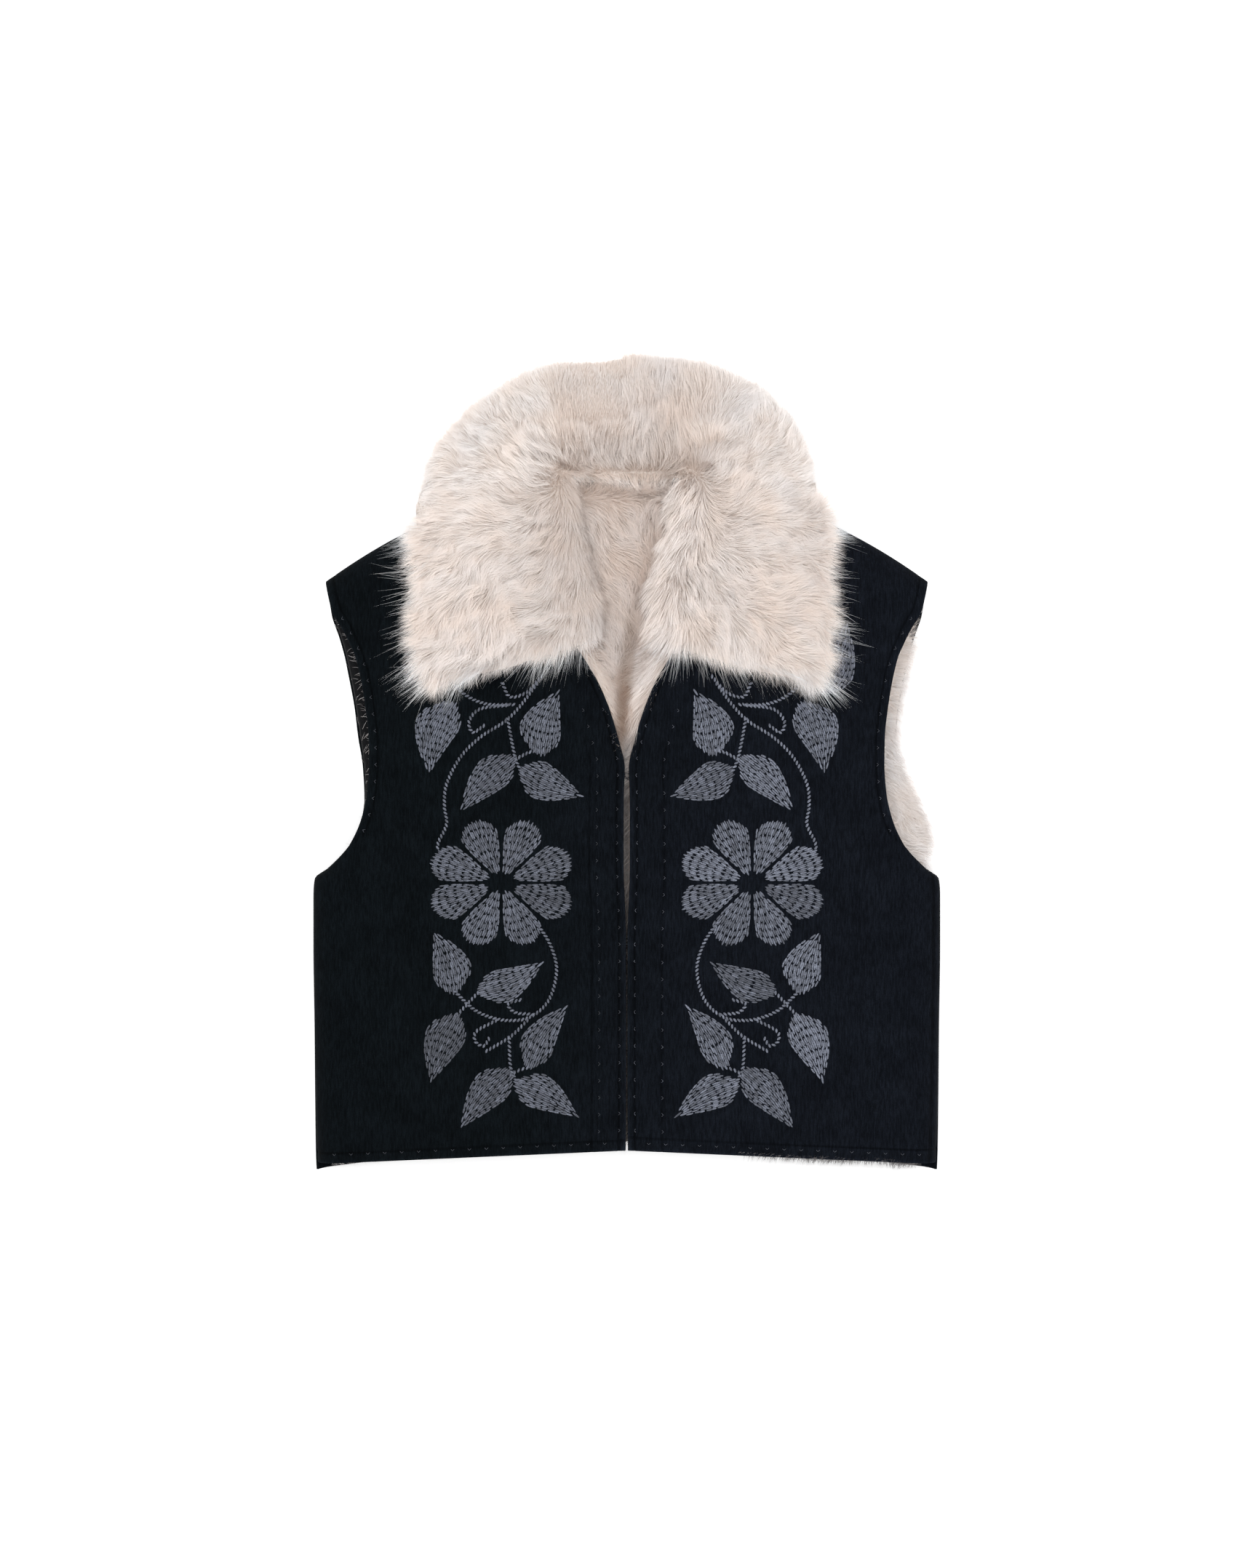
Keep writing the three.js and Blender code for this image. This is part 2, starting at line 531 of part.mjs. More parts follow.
const back = addPiece("back", backShell(), cloth());
const backFur = addPiece("back_lining", backLining(back), fur());
const layers = new HeightMap().add(back).add(backFur);
for (const [name, side] of [
  ["right", -1],
  ["left", 1],
]) {
  const front = addPiece(`front_${name}`, frontShell(side), cloth());
  const lining = addPiece(`front_lining_${name}`, frontLining(side, front, backFur), fur());
  layers.add(front).add(lining);
}
const underside = addPiece("under_collar", underCollar(layers), cloth());
layers.add(underside);
addPiece("collar", furCollar(layers), fur());
HOOK_HEIGHTS.forEach((y, k) => {
  addPiece(`hook_${k + 1}`, hook(y), blackWire());
  addPiece(`eye_${k + 1}`, eye(y), blackWire());
});

export default vest;
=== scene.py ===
"""Dresses a cropped fur vest that lies flat on its back: cloth, linings, collar, embroidery and hooks."""
from collections import namedtuple
from math import cos, pi, radians, sin

import bmesh
import bpy
import numpy as np
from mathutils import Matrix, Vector
from mathutils.bvhtree import BVHTree


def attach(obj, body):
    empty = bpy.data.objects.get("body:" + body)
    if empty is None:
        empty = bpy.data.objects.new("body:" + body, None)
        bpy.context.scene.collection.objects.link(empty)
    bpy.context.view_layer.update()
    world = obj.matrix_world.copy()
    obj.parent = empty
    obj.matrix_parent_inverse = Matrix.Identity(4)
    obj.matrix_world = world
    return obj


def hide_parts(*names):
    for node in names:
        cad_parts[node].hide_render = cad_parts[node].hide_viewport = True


bl_info = {
    "name": "Fur Vest",
    "version": (1, 0, 0),
    "blender": (4, 5, 0),
    "location": "3D Viewport > Sidebar > Fur Vest",
    "description": "Cloth, fur, embroidery and hooks of a fur vest laid flat",
    "category": "Object",
}

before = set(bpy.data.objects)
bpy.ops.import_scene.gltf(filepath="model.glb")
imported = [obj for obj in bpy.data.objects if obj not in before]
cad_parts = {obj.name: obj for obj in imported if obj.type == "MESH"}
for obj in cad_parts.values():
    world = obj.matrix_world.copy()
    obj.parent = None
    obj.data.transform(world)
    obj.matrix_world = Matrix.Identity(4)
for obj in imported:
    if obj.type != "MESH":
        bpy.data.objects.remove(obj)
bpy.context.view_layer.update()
MM = 0.001

# Sizes of the cut, in millimetres. +X is the wearer's left, +Y runs from the hem to the collar.
CLOTH = 2.0
GAP = 0.3
FRONT_TOP = 31.0
SEAM_HEIGHT = 9.0
SIDE_CURL = 26.0
BACK_CURL = 10.0
OPEN_EDGE_DROP = 3.5
OPEN_EDGE_FALL = 14.0
OUT_OF_REACH = 60.0
SHOULDER_BOW = 5.0

# Rows of the tables below: each panel runs from its hem at row 0 to the shoulder's seam at its last row.
UNDERARM_ROW = 6
SHOULDER_ROW = 19

FrontRow = namedtuple("FrontRow", "edge_x edge_y side_x side_y")
FRONT_ROWS = [
    FrontRow(0.8, -308.6, 248.5, -319.5),
    FrontRow(0.8, -297, 249, -307),
    FrontRow(0.5, -262, 250.3, -266),
    FrontRow(0.5, -200, 251.2, -203),
    FrontRow(0.5, -145, 252, -146),
    FrontRow(1.6, -106, 252, -106),
    FrontRow(2.2, -92, 251, -92),
    FrontRow(2.4, -79, 239, -82.5),
    FrontRow(2.4, -62, 221, -63),
    FrontRow(2.4, -43, 212, -43),
    FrontRow(2.2, -22, 207.4, -22),
    FrontRow(1.6, -2, 206, 0),
    FrontRow(6.5, 20, 206.4, 22),
    FrontRow(13, 42, 209, 46),
    FrontRow(22, 64, 213, 70),
    FrontRow(33, 83, 217.5, 87),
    FrontRow(46, 103, 221, 94),
    FrontRow(60, 128, 225, 102),
    FrontRow(72, 160, 229, 109),
    FrontRow(82, 200, 234.5, 118),
    FrontRow(86, 231, 242, 147),
]
BackRow = namedtuple("BackRow", "centre_y neck_x neck_y side_x side_y")
BACK_ROWS = [
    BackRow(-304, 120, -309, 249.5, -325.5),
    BackRow(-293, 120, -297, 250, -312),
    BackRow(-262, 118, -264, 250.6, -268),
    BackRow(-200, 116, -201, 251.2, -203),
    BackRow(-145, 114, -145, 252, -146),
    BackRow(-106, 112, -106, 252, -106),
    BackRow(-92, 110, -92, 251, -92),
    BackRow(-79, 108, -79, 241, -84),
    BackRow(-62, 106, -62, 227, -70),
    BackRow(-43, 104, -43, 216, -51),
    BackRow(-22, 102, -22, 211.5, -28),
    BackRow(-2, 100, -2, 213, 0),
    BackRow(20, 98, 20, 216.6, 22),
    BackRow(42, 96, 42, 219.5, 46),
    BackRow(64, 94, 65, 224, 70),
    BackRow(88, 92, 88, 227.5, 87),
    BackRow(112, 90, 112, 229.5, 94),
    BackRow(138, 88, 138, 232, 102),
    BackRow(166, 86, 168, 234.5, 109),
    BackRow(197, 84, 201, 237.5, 118),
    BackRow(226, 86, 231, 242, 147),
]


# ---------------------------------------------------------------- settings


def length_property(label, about, default):
    return bpy.props.FloatProperty(name=label, description=about, default=default, unit="LENGTH")


def colour_property(label, about, default):
    looks = {"subtype": "COLOR", "min": 0, "max": 1}
    return bpy.props.FloatVectorProperty(name=label, description=about, default=default, **looks)


class VestClothSettings(bpy.types.PropertyGroup):
    """Felted cloth of the fronts, back and under collar"""

    left: colour_property("Left colour", "Cloth towards the wearer's left", (0.0047, 0.0060, 0.0090))
    right: colour_property("Right colour", "Cloth towards the wearer's right", (0.0028, 0.0042, 0.0054))
    nap: length_property("Nap", "Width of one streak of the nap", 0.0011)
    groove: length_property("Seam depth", "Depth of the sewn lines along the edges", 0.0005)


class VestFurSettings(bpy.types.PropertyGroup):
    """Pile of the collar and the linings"""

    length: length_property("Pile length", "Length of the collar's hairs", 0.027)
    thickness: length_property("Hair thickness", "Width of a hair at its root", 0.00029)
    density: bpy.props.FloatProperty(name="Density", description="Hairs to a square metre", default=1.25e6)
    lock: length_property("Lock size", "Width of the locks that hairs lean into", 0.007)
    tip: colour_property("Tip colour", "Colour of the hairs' tips", (0.985, 0.932, 0.9))
    root: colour_property("Root colour", "Colour of the hairs at their roots", (0.80, 0.69, 0.615))


class VestThreadSettings(bpy.types.PropertyGroup):
    """Embroidery thread"""

    colour: colour_property("Thread colour", "Colour of the embroidery thread", (0.106, 0.116, 0.147))
    width: length_property("Thread width", "Width of one stitch", 0.0016)
    stitch: length_property("Stitch length", "Length of one stitch", 0.0069)
    height: length_property("Stitch height", "How far a stitch stands up from the cloth", 0.0009)
    flower: length_property("Flower radius", "Radius of the flower", 0.0525)


class VestStageSettings(bpy.types.PropertyGroup):
    """Floor, lights and camera"""

    distance: length_property("Camera distance", "Height of the camera above the vest", 2.5)
    frame_height: length_property("Frame height", "Height of the picture at the vest", 1.25)
    floor: colour_property("Floor colour", "Colour of the floor", (0.93, 0.93, 0.93))
    light: bpy.props.FloatProperty(
        name="Key light", description="Power of the large light", default=29, unit="POWER"
    )


# ---------------------------------------------------------------- shape of the cut


def smooth(t):
    t = np.clip(t, 0, 1)
    return t * t * (3 - 2 * t)


def mix(a, b, t):
    return a + (b - a) * t


def between(values, low, high, low_width, high_width):
    """1 where the values lie well between low and high, falling to 0 at them over these widths."""
    return smooth((values - low) / low_width) * smooth((high - values) / high_width)


def ridge(values, middle, width):
    """1 at the middle, falling off to each side of it."""
    return np.exp(-(((values - middle) / width) ** 2))


def column_at(rows, column, row):
    """A column of a table at rows that need not be whole: a cubic that never swings past the rows."""
    values = np.array([getattr(r, column) for r in rows], float)
    rise = np.diff(values)
    before, after = rise[:-1], rise[1:]
    total = np.where(before + after == 0, 1, before + after)
    inner = np.where(before * after <= 0, 0, 2 * before * after / total)
    slope = np.concatenate([rise[:1], inner, rise[-1:]])
    i = np.clip(np.floor(row).astype(int), 0, len(values) - 2)
    t = row - i
    start = (2 * t**3 - 3 * t**2 + 1) * values[i] + (t**3 - 2 * t**2 + t) * slope[i]
    return start + (3 * t**2 - 2 * t**3) * values[i + 1] + (t**3 - t**2) * slope[i + 1]


def openness(row):
    return smooth((row - UNDERARM_ROW) / 2.5)


def shoulder_bend(row):
    return np.arcsin(np.clip(row - SHOULDER_ROW, 0, 1))


def shoulder_bow(x, row):
    """How far the shoulder's line bows out, on top of the straight line between its two ends."""
    start, end = FRONT_ROWS[-1].edge_x, FRONT_ROWS[-1].side_x
    share = np.clip((np.abs(x) - start) / (end - start), 0, 1)
    return SHOULDER_BOW * np.sin(pi * share**1.6) * smooth((row - SHOULDER_ROW + 5) / 5)


def swell(x, y):
    broad = 0.9 * np.sin(x / 31 + y / 57) * np.cos(y / 43 - x / 71)
    return broad + 0.4 * np.sin(x / 17 - y / 23)


def with_shoulder(rows):
    """These rows and the ones round the bend at the shoulder."""
    return np.concatenate([rows, SHOULDER_ROW + np.sin(np.linspace(0, pi / 2, 8)[1:])])


def row_stops(rows, sides, spacing):
    """Rows of a panel, about this far apart along its longer side and closer round the shoulder."""
    fine = np.linspace(0, SHOULDER_ROW, 2000)
    steps = [[np.gradient(column_at(rows, f"{side}_{axis}", fine)) for axis in "xy"] for side in sides]
    along = np.cumsum(np.max([np.hypot(*step) for step in steps], axis=0))
    count = int(along[-1] / spacing)
    return with_shoulder(np.interp(np.linspace(along[0], along[-1], count), along, fine))


def front_surface(side, row, from_edge, share, turn):
    """A front's outer face, and how far its points lie from its edges. from_edge are fixed distances from the
    free edge, share goes on from there to the bend at the side, and turn is the angle round the bend."""
    at = {k: column_at(FRONT_ROWS, k, row)[:, None] for k in FrontRow._fields}
    width = np.hypot(at["side_x"] - at["edge_x"], at["side_y"] - at["edge_y"])
    flat = width - SIDE_CURL
    near = from_edge[None, :] + 0 * width
    last = from_edge[-1]
    middle = last + (flat - last) * share[None, :]
    bend = flat + SIDE_CURL * np.sin(turn)[None, :]
    inward = np.concatenate([near, middle, bend], axis=1)
    angle = np.concatenate([np.zeros(len(from_edge) + len(share)), turn])[None, :]
    t = inward / width
    x = mix(at["edge_x"], at["side_x"], t)
    row = row[:, None]
    y = mix(at["edge_y"], at["side_y"], t) + shoulder_bow(x, row)
    sewn = 1 - openness(row)
    side_fall = 1 - np.cos(angle)
    hem_fall = 1 - smooth(row)
    edge_fall = 1 - smooth(inward / OPEN_EDGE_FALL)
    shoulder = 1 - np.cos(shoulder_bend(row))
    fall = np.maximum(np.maximum(hem_fall, edge_fall), side_fall * (1 - sewn))
    drop = fall * OPEN_EDGE_DROP * (1 - shoulder)
    left = (1 - side_fall * sewn) * (1 - shoulder)
    lift = swell(side * x, y) * left * (1 - hem_fall)
    z = SEAM_HEIGHT + GAP / 2 + (FRONT_TOP - SEAM_HEIGHT - GAP / 2) * left - drop * left + lift
    points = np.stack([side * x, y, z], axis=-1)
    hem = FRONT_ROWS[0]
    distances = {
        "edge": inward,
        "hem": y - hem.edge_y - (hem.side_y - hem.edge_y) * t,
        "armhole": (width - inward) + OUT_OF_REACH * sewn,
        "side": (width - inward) + OUT_OF_REACH * (1 - sewn),
    }
    return points, distances


def grid_normals(points, side=1):
    across = np.gradient(points, axis=1)
    along = np.gradient(points, axis=0)
    normal = np.cross(across, along) * side
    return normal / np.maximum(np.linalg.norm(normal, axis=-1, keepdims=True), 1e-9)


SHOULDER_INWARD = (0.47, 0.88)


def back_surface(row, share, turn):
    """The points of the back's upper face and of its lower face, from side to side."""
    share, turn = share[None, :], turn[None, :]
    at = {k: column_at(BACK_ROWS, k, row)[:, None] for k in BackRow._fields}
    curl = BACK_CURL / at["side_x"]
    half = np.where(turn > 0, 1 - curl * (1 - np.sin(turn)), np.abs(share) * (1 - curl))
    neck = at["neck_x"] / at["side_x"]
    inner = half < neck
    t = np.where(inner, half / neck, (half - neck) / (1 - neck))
    x = np.where(inner, at["neck_x"] * t, mix(at["neck_x"], at["side_x"], t))
    y = np.where(inner, mix(at["centre_y"], at["neck_y"], t), mix(at["neck_y"], at["side_y"], t))
    row = row[:, None]
    y = y + shoulder_bow(x, row)
    sewn = 1 - openness(row)
    side_rise = (1 - np.cos(turn)) * sewn
    beyond_neck = smooth((x - 60) / 40)
    shoulder_rise = (1 - np.cos(shoulder_bend(row))) * beyond_neck
    height = (SEAM_HEIGHT - GAP / 2) * (1 - (1 - side_rise) * (1 - shoulder_rise))
    faces = []
    for thickness in (CLOTH, 0):
        level = thickness * np.sin(turn) * sewn
        along = thickness * np.sin(shoulder_bend(row)) * beyond_neck
        upright = thickness * np.sqrt(np.clip(1 - np.maximum(side_rise, shoulder_rise) ** 2, 0, 1))
        across = np.sign(share) * (x - level - along * SHOULDER_INWARD[0])
        faces.append(np.stack([across, y - along * SHOULDER_INWARD[1], height + upright], axis=-1))
    return faces


# ---------------------------------------------------------------- meshes


def link(mesh, name):
    obj = bpy.data.objects.new(name, mesh)
    bpy.context.scene.collection.objects.link(obj)
    return obj


def closed_wall(name, upper, lower):
    """A closed wall between two grids of points in millimetres, with a rim round its four sides."""
    rows, columns = upper.shape[:2]
    count = rows * columns
    index = np.arange(count).reshape(rows, columns)
    quads = np.stack([index[:-1, :-1], index[:-1, 1:], index[1:, 1:], index[1:, :-1]], axis=-1).reshape(-1, 4)
    rim = np.concatenate([index[0, :-1], index[:-1, -1], index[-1, :0:-1], index[:0:-1, 0]])
    following = np.roll(rim, -1)
    sides = np.stack([rim, rim + count, following + count, following], axis=-1)
    faces = np.concatenate([quads, quads[:, ::-1] + count, sides])
    points = np.concatenate([upper.reshape(-1, 3), lower.reshape(-1, 3)]) * MM
    mesh = bpy.data.meshes.new(name)
    mesh.from_pydata(points.tolist(), [], faces.tolist())
    turn_out(mesh)
    return mesh


def turn_out(mesh):
    bm = bmesh.new()
    bm.from_mesh(mesh)
    bmesh.ops.recalc_face_normals(bm, faces=bm.faces)
    bm.to_mesh(mesh)
    bm.free()


def give_attribute(mesh, name, values, kind="FLOAT"):
    attribute = mesh.attributes.new(name, kind, "POINT")
    flat = np.ascontiguousarray(values, np.float32).ravel()
    attribute.data.foreach_set("vector" if kind == "FLOAT_VECTOR" else "value", flat)


def vertices_in_mm(mesh):
    points = np.empty(len(mesh.vertices) * 3, np.float32)
    mesh.vertices.foreach_get("co", points)
    return points.reshape(-1, 3) / MM


def normals_of(mesh):
    normals = np.empty(len(mesh.vertices) * 3, np.float32)
    mesh.vertex_normals.foreach_get("vector", normals)
    return normals.reshape(-1, 3)


def made_plain(obj):
    """The object with its modifiers applied to its mesh and taken off."""
    graph = bpy.context.evaluated_depsgraph_get()
    mesh = bpy.data.meshes.new_from_object(obj.evaluated_get(graph))
    obj.modifiers.clear()
    obj.data = mesh
    mesh.name = obj.name
    return obj


def rounded(obj, width):
    bevel = obj.modifiers.new("Rounded edges", "BEVEL")
    bevel.width = width
    bevel.segments = 2
    bevel.limit_method = "ANGLE"
    bevel.angle_limit = radians(50)
    return made_plain(obj)


def copy_of_node(node_name, name, levels=1):
    """A finer copy of a packed solid, merged and made of quads."""
    bm = bmesh.new()
    bm.from_mesh(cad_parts[node_name].data)
    bmesh.ops.remove_doubles(bm, verts=bm.verts, dist=1e-5)
    limits = {"angle_face_threshold": radians(40), "angle_shape_threshold": radians(60)}
    bmesh.ops.join_triangles(bm, faces=bm.faces, **limits)
    mesh = bpy.data.meshes.new(name)
    bm.to_mesh(mesh)
    bm.free()
    mesh.materials.clear()
    obj = link(mesh, name)
    finer = obj.modifiers.new("Finer", "SUBSURF")
    finer.levels = finer.render_levels = levels
    return made_plain(obj)


def shaded(obj, material):
    obj.data.materials.clear()
    obj.data.materials.append(material)
    obj.data.polygons.foreach_set("use_smooth", np.ones(len(obj.data.polygons), bool))
    return obj


def finish_piece(obj, slot, *nodes):
    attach(obj, "root")
    if nodes:
        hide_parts(*nodes)
    return obj


# ---------------------------------------------------------------- node trees


class Field:
    """A socket of a node tree with arithmetic, so that a tree reads as the formula it works out."""

    def __init__(self, tree, socket):
        self.tree = tree
        self.socket = socket
        self.vector = socket.type in {"VECTOR", "RGBA"}

    def _math(self, operation, *others):
        fields = [o for o in (self, *others) if isinstance(o, Field)]
        kind = "ShaderNodeVectorMath" if any(f.vector for f in fields) else "ShaderNodeMath"
        return node(self.tree, kind, {i: v for i, v in enumerate((self, *others))}, operation=operation)

    def __add__(self, other):
        return self._math("ADD", other)

    def __sub__(self, other):
        return self._math("SUBTRACT", other)

    def __mul__(self, other):
        other_is_vector = isinstance(other, Field) and other.vector or isinstance(other, tuple)
        if self.vector and not other_is_vector:
            return node(self.tree, "ShaderNodeVectorMath", {0: self, "Scale": other}, operation="SCALE")
        if other_is_vector and not self.vector:
            return node(self.tree, "ShaderNodeVectorMath", {0: other, "Scale": self}, operation="SCALE")
        return self._math("MULTIPLY", other)

    def __truediv__(self, other):
        return self._math("DIVIDE", other)

    def __pow__(self, other):
        return self._math("POWER", other)

    def sine(self):
        return self._math("SINE")

    def size(self):
        return self._math("ABSOLUTE")

    def cosine(self):
        return self._math("COSINE")

    def cross(self, other):
        return self._math("CROSS_PRODUCT", other)

    def unit(self):
        return self._math("NORMALIZE")

    def dot(self, other):
        inputs = {0: self, 1: other}
        return node(self.tree, "ShaderNodeVectorMath", inputs, out="Value", operation="DOT_PRODUCT")

    def part(self, letter):
        return node(self.tree, "ShaderNodeSeparateXYZ", {0: self}, out=letter)

    def between(self, low, high, start=0.0, end=1.0):
        values = {"Value": self, "From Min": low, "From Max": high, "To Min": start, "To Max": end}
        return node(self.tree, "ShaderNodeMapRange", values, out="Result", interpolation_type="SMOOTHSTEP")


def enabled(sockets, key):
    if isinstance(key, int):
        return sockets[key]
    return next(s for s in sockets if s.name == key and s.enabled)


def node(tree, kind, inputs=None, out=0, **settings):
    """Adds a node, sets or links its inputs, and returns one output as a Field."""
    made = tree.nodes.new(kind)
    for key, value in settings.items():
        setattr(made, key, value)
    for key, value in (inputs or {}).items():
        socket = enabled(made.inputs, key)
        if isinstance(value, Field):
            tree.links.new(value.socket, socket)
        else:
            socket.default_value = value
    if out is None:
        return made
    return Field(tree, enabled(made.outputs, out))


def noise(tree, place, scale, detail=2.0, out="Fac", roughness=0.5):
    values = {"Vector": place, "Scale": scale, "Detail": detail, "Roughness": roughness}
    return node(tree, "ShaderNodeTexNoise", values, out=out)


class GeometryTree:
    """A Geometry Nodes tree with one geometry and named inputs, built one geometry node after another."""

    def __init__(self, name, inputs):
        self.tree = bpy.data.node_groups.new(name, "GeometryNodeTree")
        face = self.tree.interface
        face.new_socket("Geometry", in_out="INPUT", socket_type="NodeSocketGeometry")
        face.new_socket("Geometry", in_out="OUTPUT", socket_type="NodeSocketGeometry")
        self.identifiers = {}
        for label, kind in inputs.items():
            socket = face.new_socket(label, in_out="INPUT", socket_type=f"NodeSocket{kind}")
            self.identifiers[label] = socket.identifier
        self.entry = self.tree.nodes.new("NodeGroupInput")
        self.geometry = Field(self.tree, self.entry.outputs["Geometry"])

    def given(self, label):
        return Field(self.tree, self.entry.outputs[label])

    def stored(self, name, kind="FLOAT"):
        inputs = {"Name": name}
        return node(self.tree, "GeometryNodeInputNamedAttribute", inputs, out="Attribute", data_type=kind)

    def stored_vector(self, name):
        return self.stored(name, "FLOAT_VECTOR")

    def then(self, kind, inputs=None, out="Geometry", into="Geometry", **settings):
        self.geometry = node(self.tree, kind, {into: self.geometry, **(inputs or {})}, out=out, **settings)
        return self.geometry

    def store(self, name, value):
        kind = "FLOAT_VECTOR" if value.vector else "FLOAT"
        inputs = {"Name": name, "Value": value}
        return self.then("GeometryNodeStoreNamedAttribute", inputs, data_type=kind, domain="POINT")

    def result_of(self, inner, inputs):
        """The geometry that another tree makes, with inputs of this one."""
        made = self.tree.nodes.new("GeometryNodeGroup")
        made.node_tree = inner.tree
        for label, field in inputs.items():
            self.tree.links.new(field.socket, made.inputs[label])
        return Field(self.tree, made.outputs["Geometry"])

    def random(self, low, high, seed):
        made = node(self.tree, "FunctionNodeRandomValue", {"Seed": seed}, out=None, data_type="FLOAT")
        bounds = [s for s in made.inputs if s.enabled and s.name in {"Min", "Max"}]
        bounds[0].default_value, bounds[1].default_value = low, high
        return Field(self.tree, enabled(made.outputs, "Value"))

    def position(self):
        return node(self.tree, "GeometryNodeInputPosition")

    def end(self):
        last = self.tree.nodes.new("NodeGroupOutput")
        self.tree.links.new(self.geometry.socket, last.inputs[0])
        return self

    def result_on(self, obj, name, values):
        """Runs the tree on an object and returns the result as a plain mesh object."""
        modifier = obj.modifiers.new(name, "NODES")
        modifier.node_group = self.tree
        for label, value in values.items():
            modifier[self.identifiers[label]] = value
        graph = bpy.context.evaluated_depsgraph_get()
        mesh = bpy.data.meshes.new_from_object(obj.evaluated_get(graph))
        mesh.name = name
        obj.modifiers.remove(modifier)
        return link(mesh, name)


HELPERS = ("root", "rise", "run", "pull", "breadth", "flow", "fur_density", "fur_length", "fur_calm")
HAIR_LOWEST = 0.0004
HAIR_HIGHEST = 0.0685
FUR_INPUTS = {"Density": "Float", "Seed": "Int", "Length": "Float", "Thickness": "Float", "Lift": "Float",
              "Lock": "Float", "Lean": "Float", "Wildness": "Float", "Steps": "Int", "Material": "Material"}


def blade_tree():
    """One hair: a flat blade along +Y that tapers to a point."""
    blade = GeometryTree("Blade", {"Steps": "Int"})
    sizes = {"Size X": 1.0, "Size Y": 1.0, "Vertices X": 2, "Vertices Y": blade.given("Steps")}
    blade.geometry = node(blade.tree, "GeometryNodeMeshGrid", sizes, out="Mesh")
    place = blade.position()
    along = place.part("Y") + 0.5
    taper = (along * -1.0 + 1.0) ** 0.75
    flat = node(blade.tree, "ShaderNodeCombineXYZ", {"X": place.part("X") * taper, "Y": along})
    blade.then("GeometryNodeSetPosition", {"Position": flat})
    blade.then("GeometryNodeMergeByDistance", {"Distance": 0.001})
    return blade.end()


def fur_tree():
    """Hairs: tapered blades rooted on the faces, combed along the attribute flow and drawn into locks."""
    g = GeometryTree("Fur", FUR_INPUTS)
    tree = g.tree
    seed = g.given("Seed")
    density = g.stored("fur_density") * g.given("Density")
    scatter = node(tree, "GeometryNodeDistributePointsOnFaces",
                   {"Mesh": g.geometry, "Density": density, "Seed": seed}, out=None)
    g.geometry = Field(tree, scatter.outputs["Points"])
    up = Field(tree, scatter.outputs["Normal"])
    root = g.position()
    comb = g.stored_vector("flow")
    comb = (comb - up * comb.dot(up)).unit()
    wild = g.given("Wildness") * (g.stored("fur_calm") * -1.0 + 1.0)
    turn = (noise(tree, root, 28.0, 1.0) - 0.5) * 4.2 + (noise(tree, root, 110.0, 2.0) - 0.5) * 3.6
    turn = turn * wild + g.random(-0.5, 0.5, seed) * wild
    comb = comb * turn.cosine() + up.cross(comb) * turn.sine()
    cell = node(tree, "ShaderNodeTexVoronoi", {"Vector": root, "Scale": g.given("Lock")}, out="Position")
    pull = cell - root
    pull = pull - up * pull.dot(up)
    size = g.stored("fur_length") * g.given("Length") * g.random(0.72, 1.18, seed)
    lift = (g.given("Lift") * g.random(0.55, 1.45, seed)) * (noise(tree, root, 60.0, 1.0) + 0.5)
    roll = g.random(-0.9, 0.9, seed)
    breadth = comb.cross(up) * roll.cosine() + up * roll.sine()
    g.store("root", root)
    g.store("rise", up * (size * lift.sine()))
    g.store("run", comb * (size * lift.cosine()))
    g.store("pull", pull * (g.given("Lean") * (g.stored("fur_calm") * -0.6 + 1.0)))
    g.store("breadth", breadth * g.given("Thickness"))
    g.store("tone", g.random(0.0, 1.0, seed))
    blade = g.result_of(blade_tree(), {"Steps": g.given("Steps")})
    g.then("GeometryNodeInstanceOnPoints", {"Instance": blade}, out="Instances", into="Points")
    g.then("GeometryNodeRealizeInstances")
    root = g.stored_vector("root")
    own = g.position() - root
    s = own.part("Y")
    rise = g.stored_vector("rise") * (s * (s * -0.45 + 1.0))
    run = g.stored_vector("run") * (s ** 1.25)
    lean = g.stored_vector("pull") * (s * s)
    bends = {"Vector": root + g.stored_vector("run") * s, "Scale": 170.0, "Detail": 1.0}
    wave = node(tree, "ShaderNodeTexNoise", bends, out="Color") - (0.5, 0.5, 0.5)
    wave = wave * (s * g.given("Wildness") * 0.004)
    width = g.stored_vector("breadth") * own.part("X")
    shape = root + rise + run + lean + wave + width
    g.store("along", s)
    limits = {"Value": shape.part("Z"), "Min": HAIR_LOWEST, "Max": HAIR_HIGHEST}
    height = node(tree, "ShaderNodeClamp", limits)
    shape = node(tree, "ShaderNodeCombineXYZ", {"X": shape.part("X"), "Y": shape.part("Y"), "Z": height})
    g.then("GeometryNodeSetPosition", {"Position": shape})
    g.then("GeometryNodeSetMaterial", {"Material": g.given("Material")})
    return g.end()


def thread_tree():
    """One stitch along +X: half a round thread whose ends dip into the cloth."""
    thread = GeometryTree("Thread", {})
    sizes = {"Size X": 2.0, "Size Y": 2.0, "Vertices X": 5, "Vertices Y": 4}
    thread.geometry = node(thread.tree, "GeometryNodeMeshGrid", sizes, out="Mesh")
    place = thread.position()
    u, v = place.part("X"), place.part("Y")
    taper = (u * u) * -0.75 + 1.0
    round_y = (v * (pi / 2)).sine() * 0.5 * taper
    round_z = (v * (pi / 2)).cosine() * taper - (u * u) * (u * u) * 0.75
    thread.store("across", v)
    shape = node(thread.tree, "ShaderNodeCombineXYZ", {"X": u * 0.5, "Y": round_y, "Z": round_z})
    thread.then("GeometryNodeSetPosition", {"Position": shape})
    return thread.end()


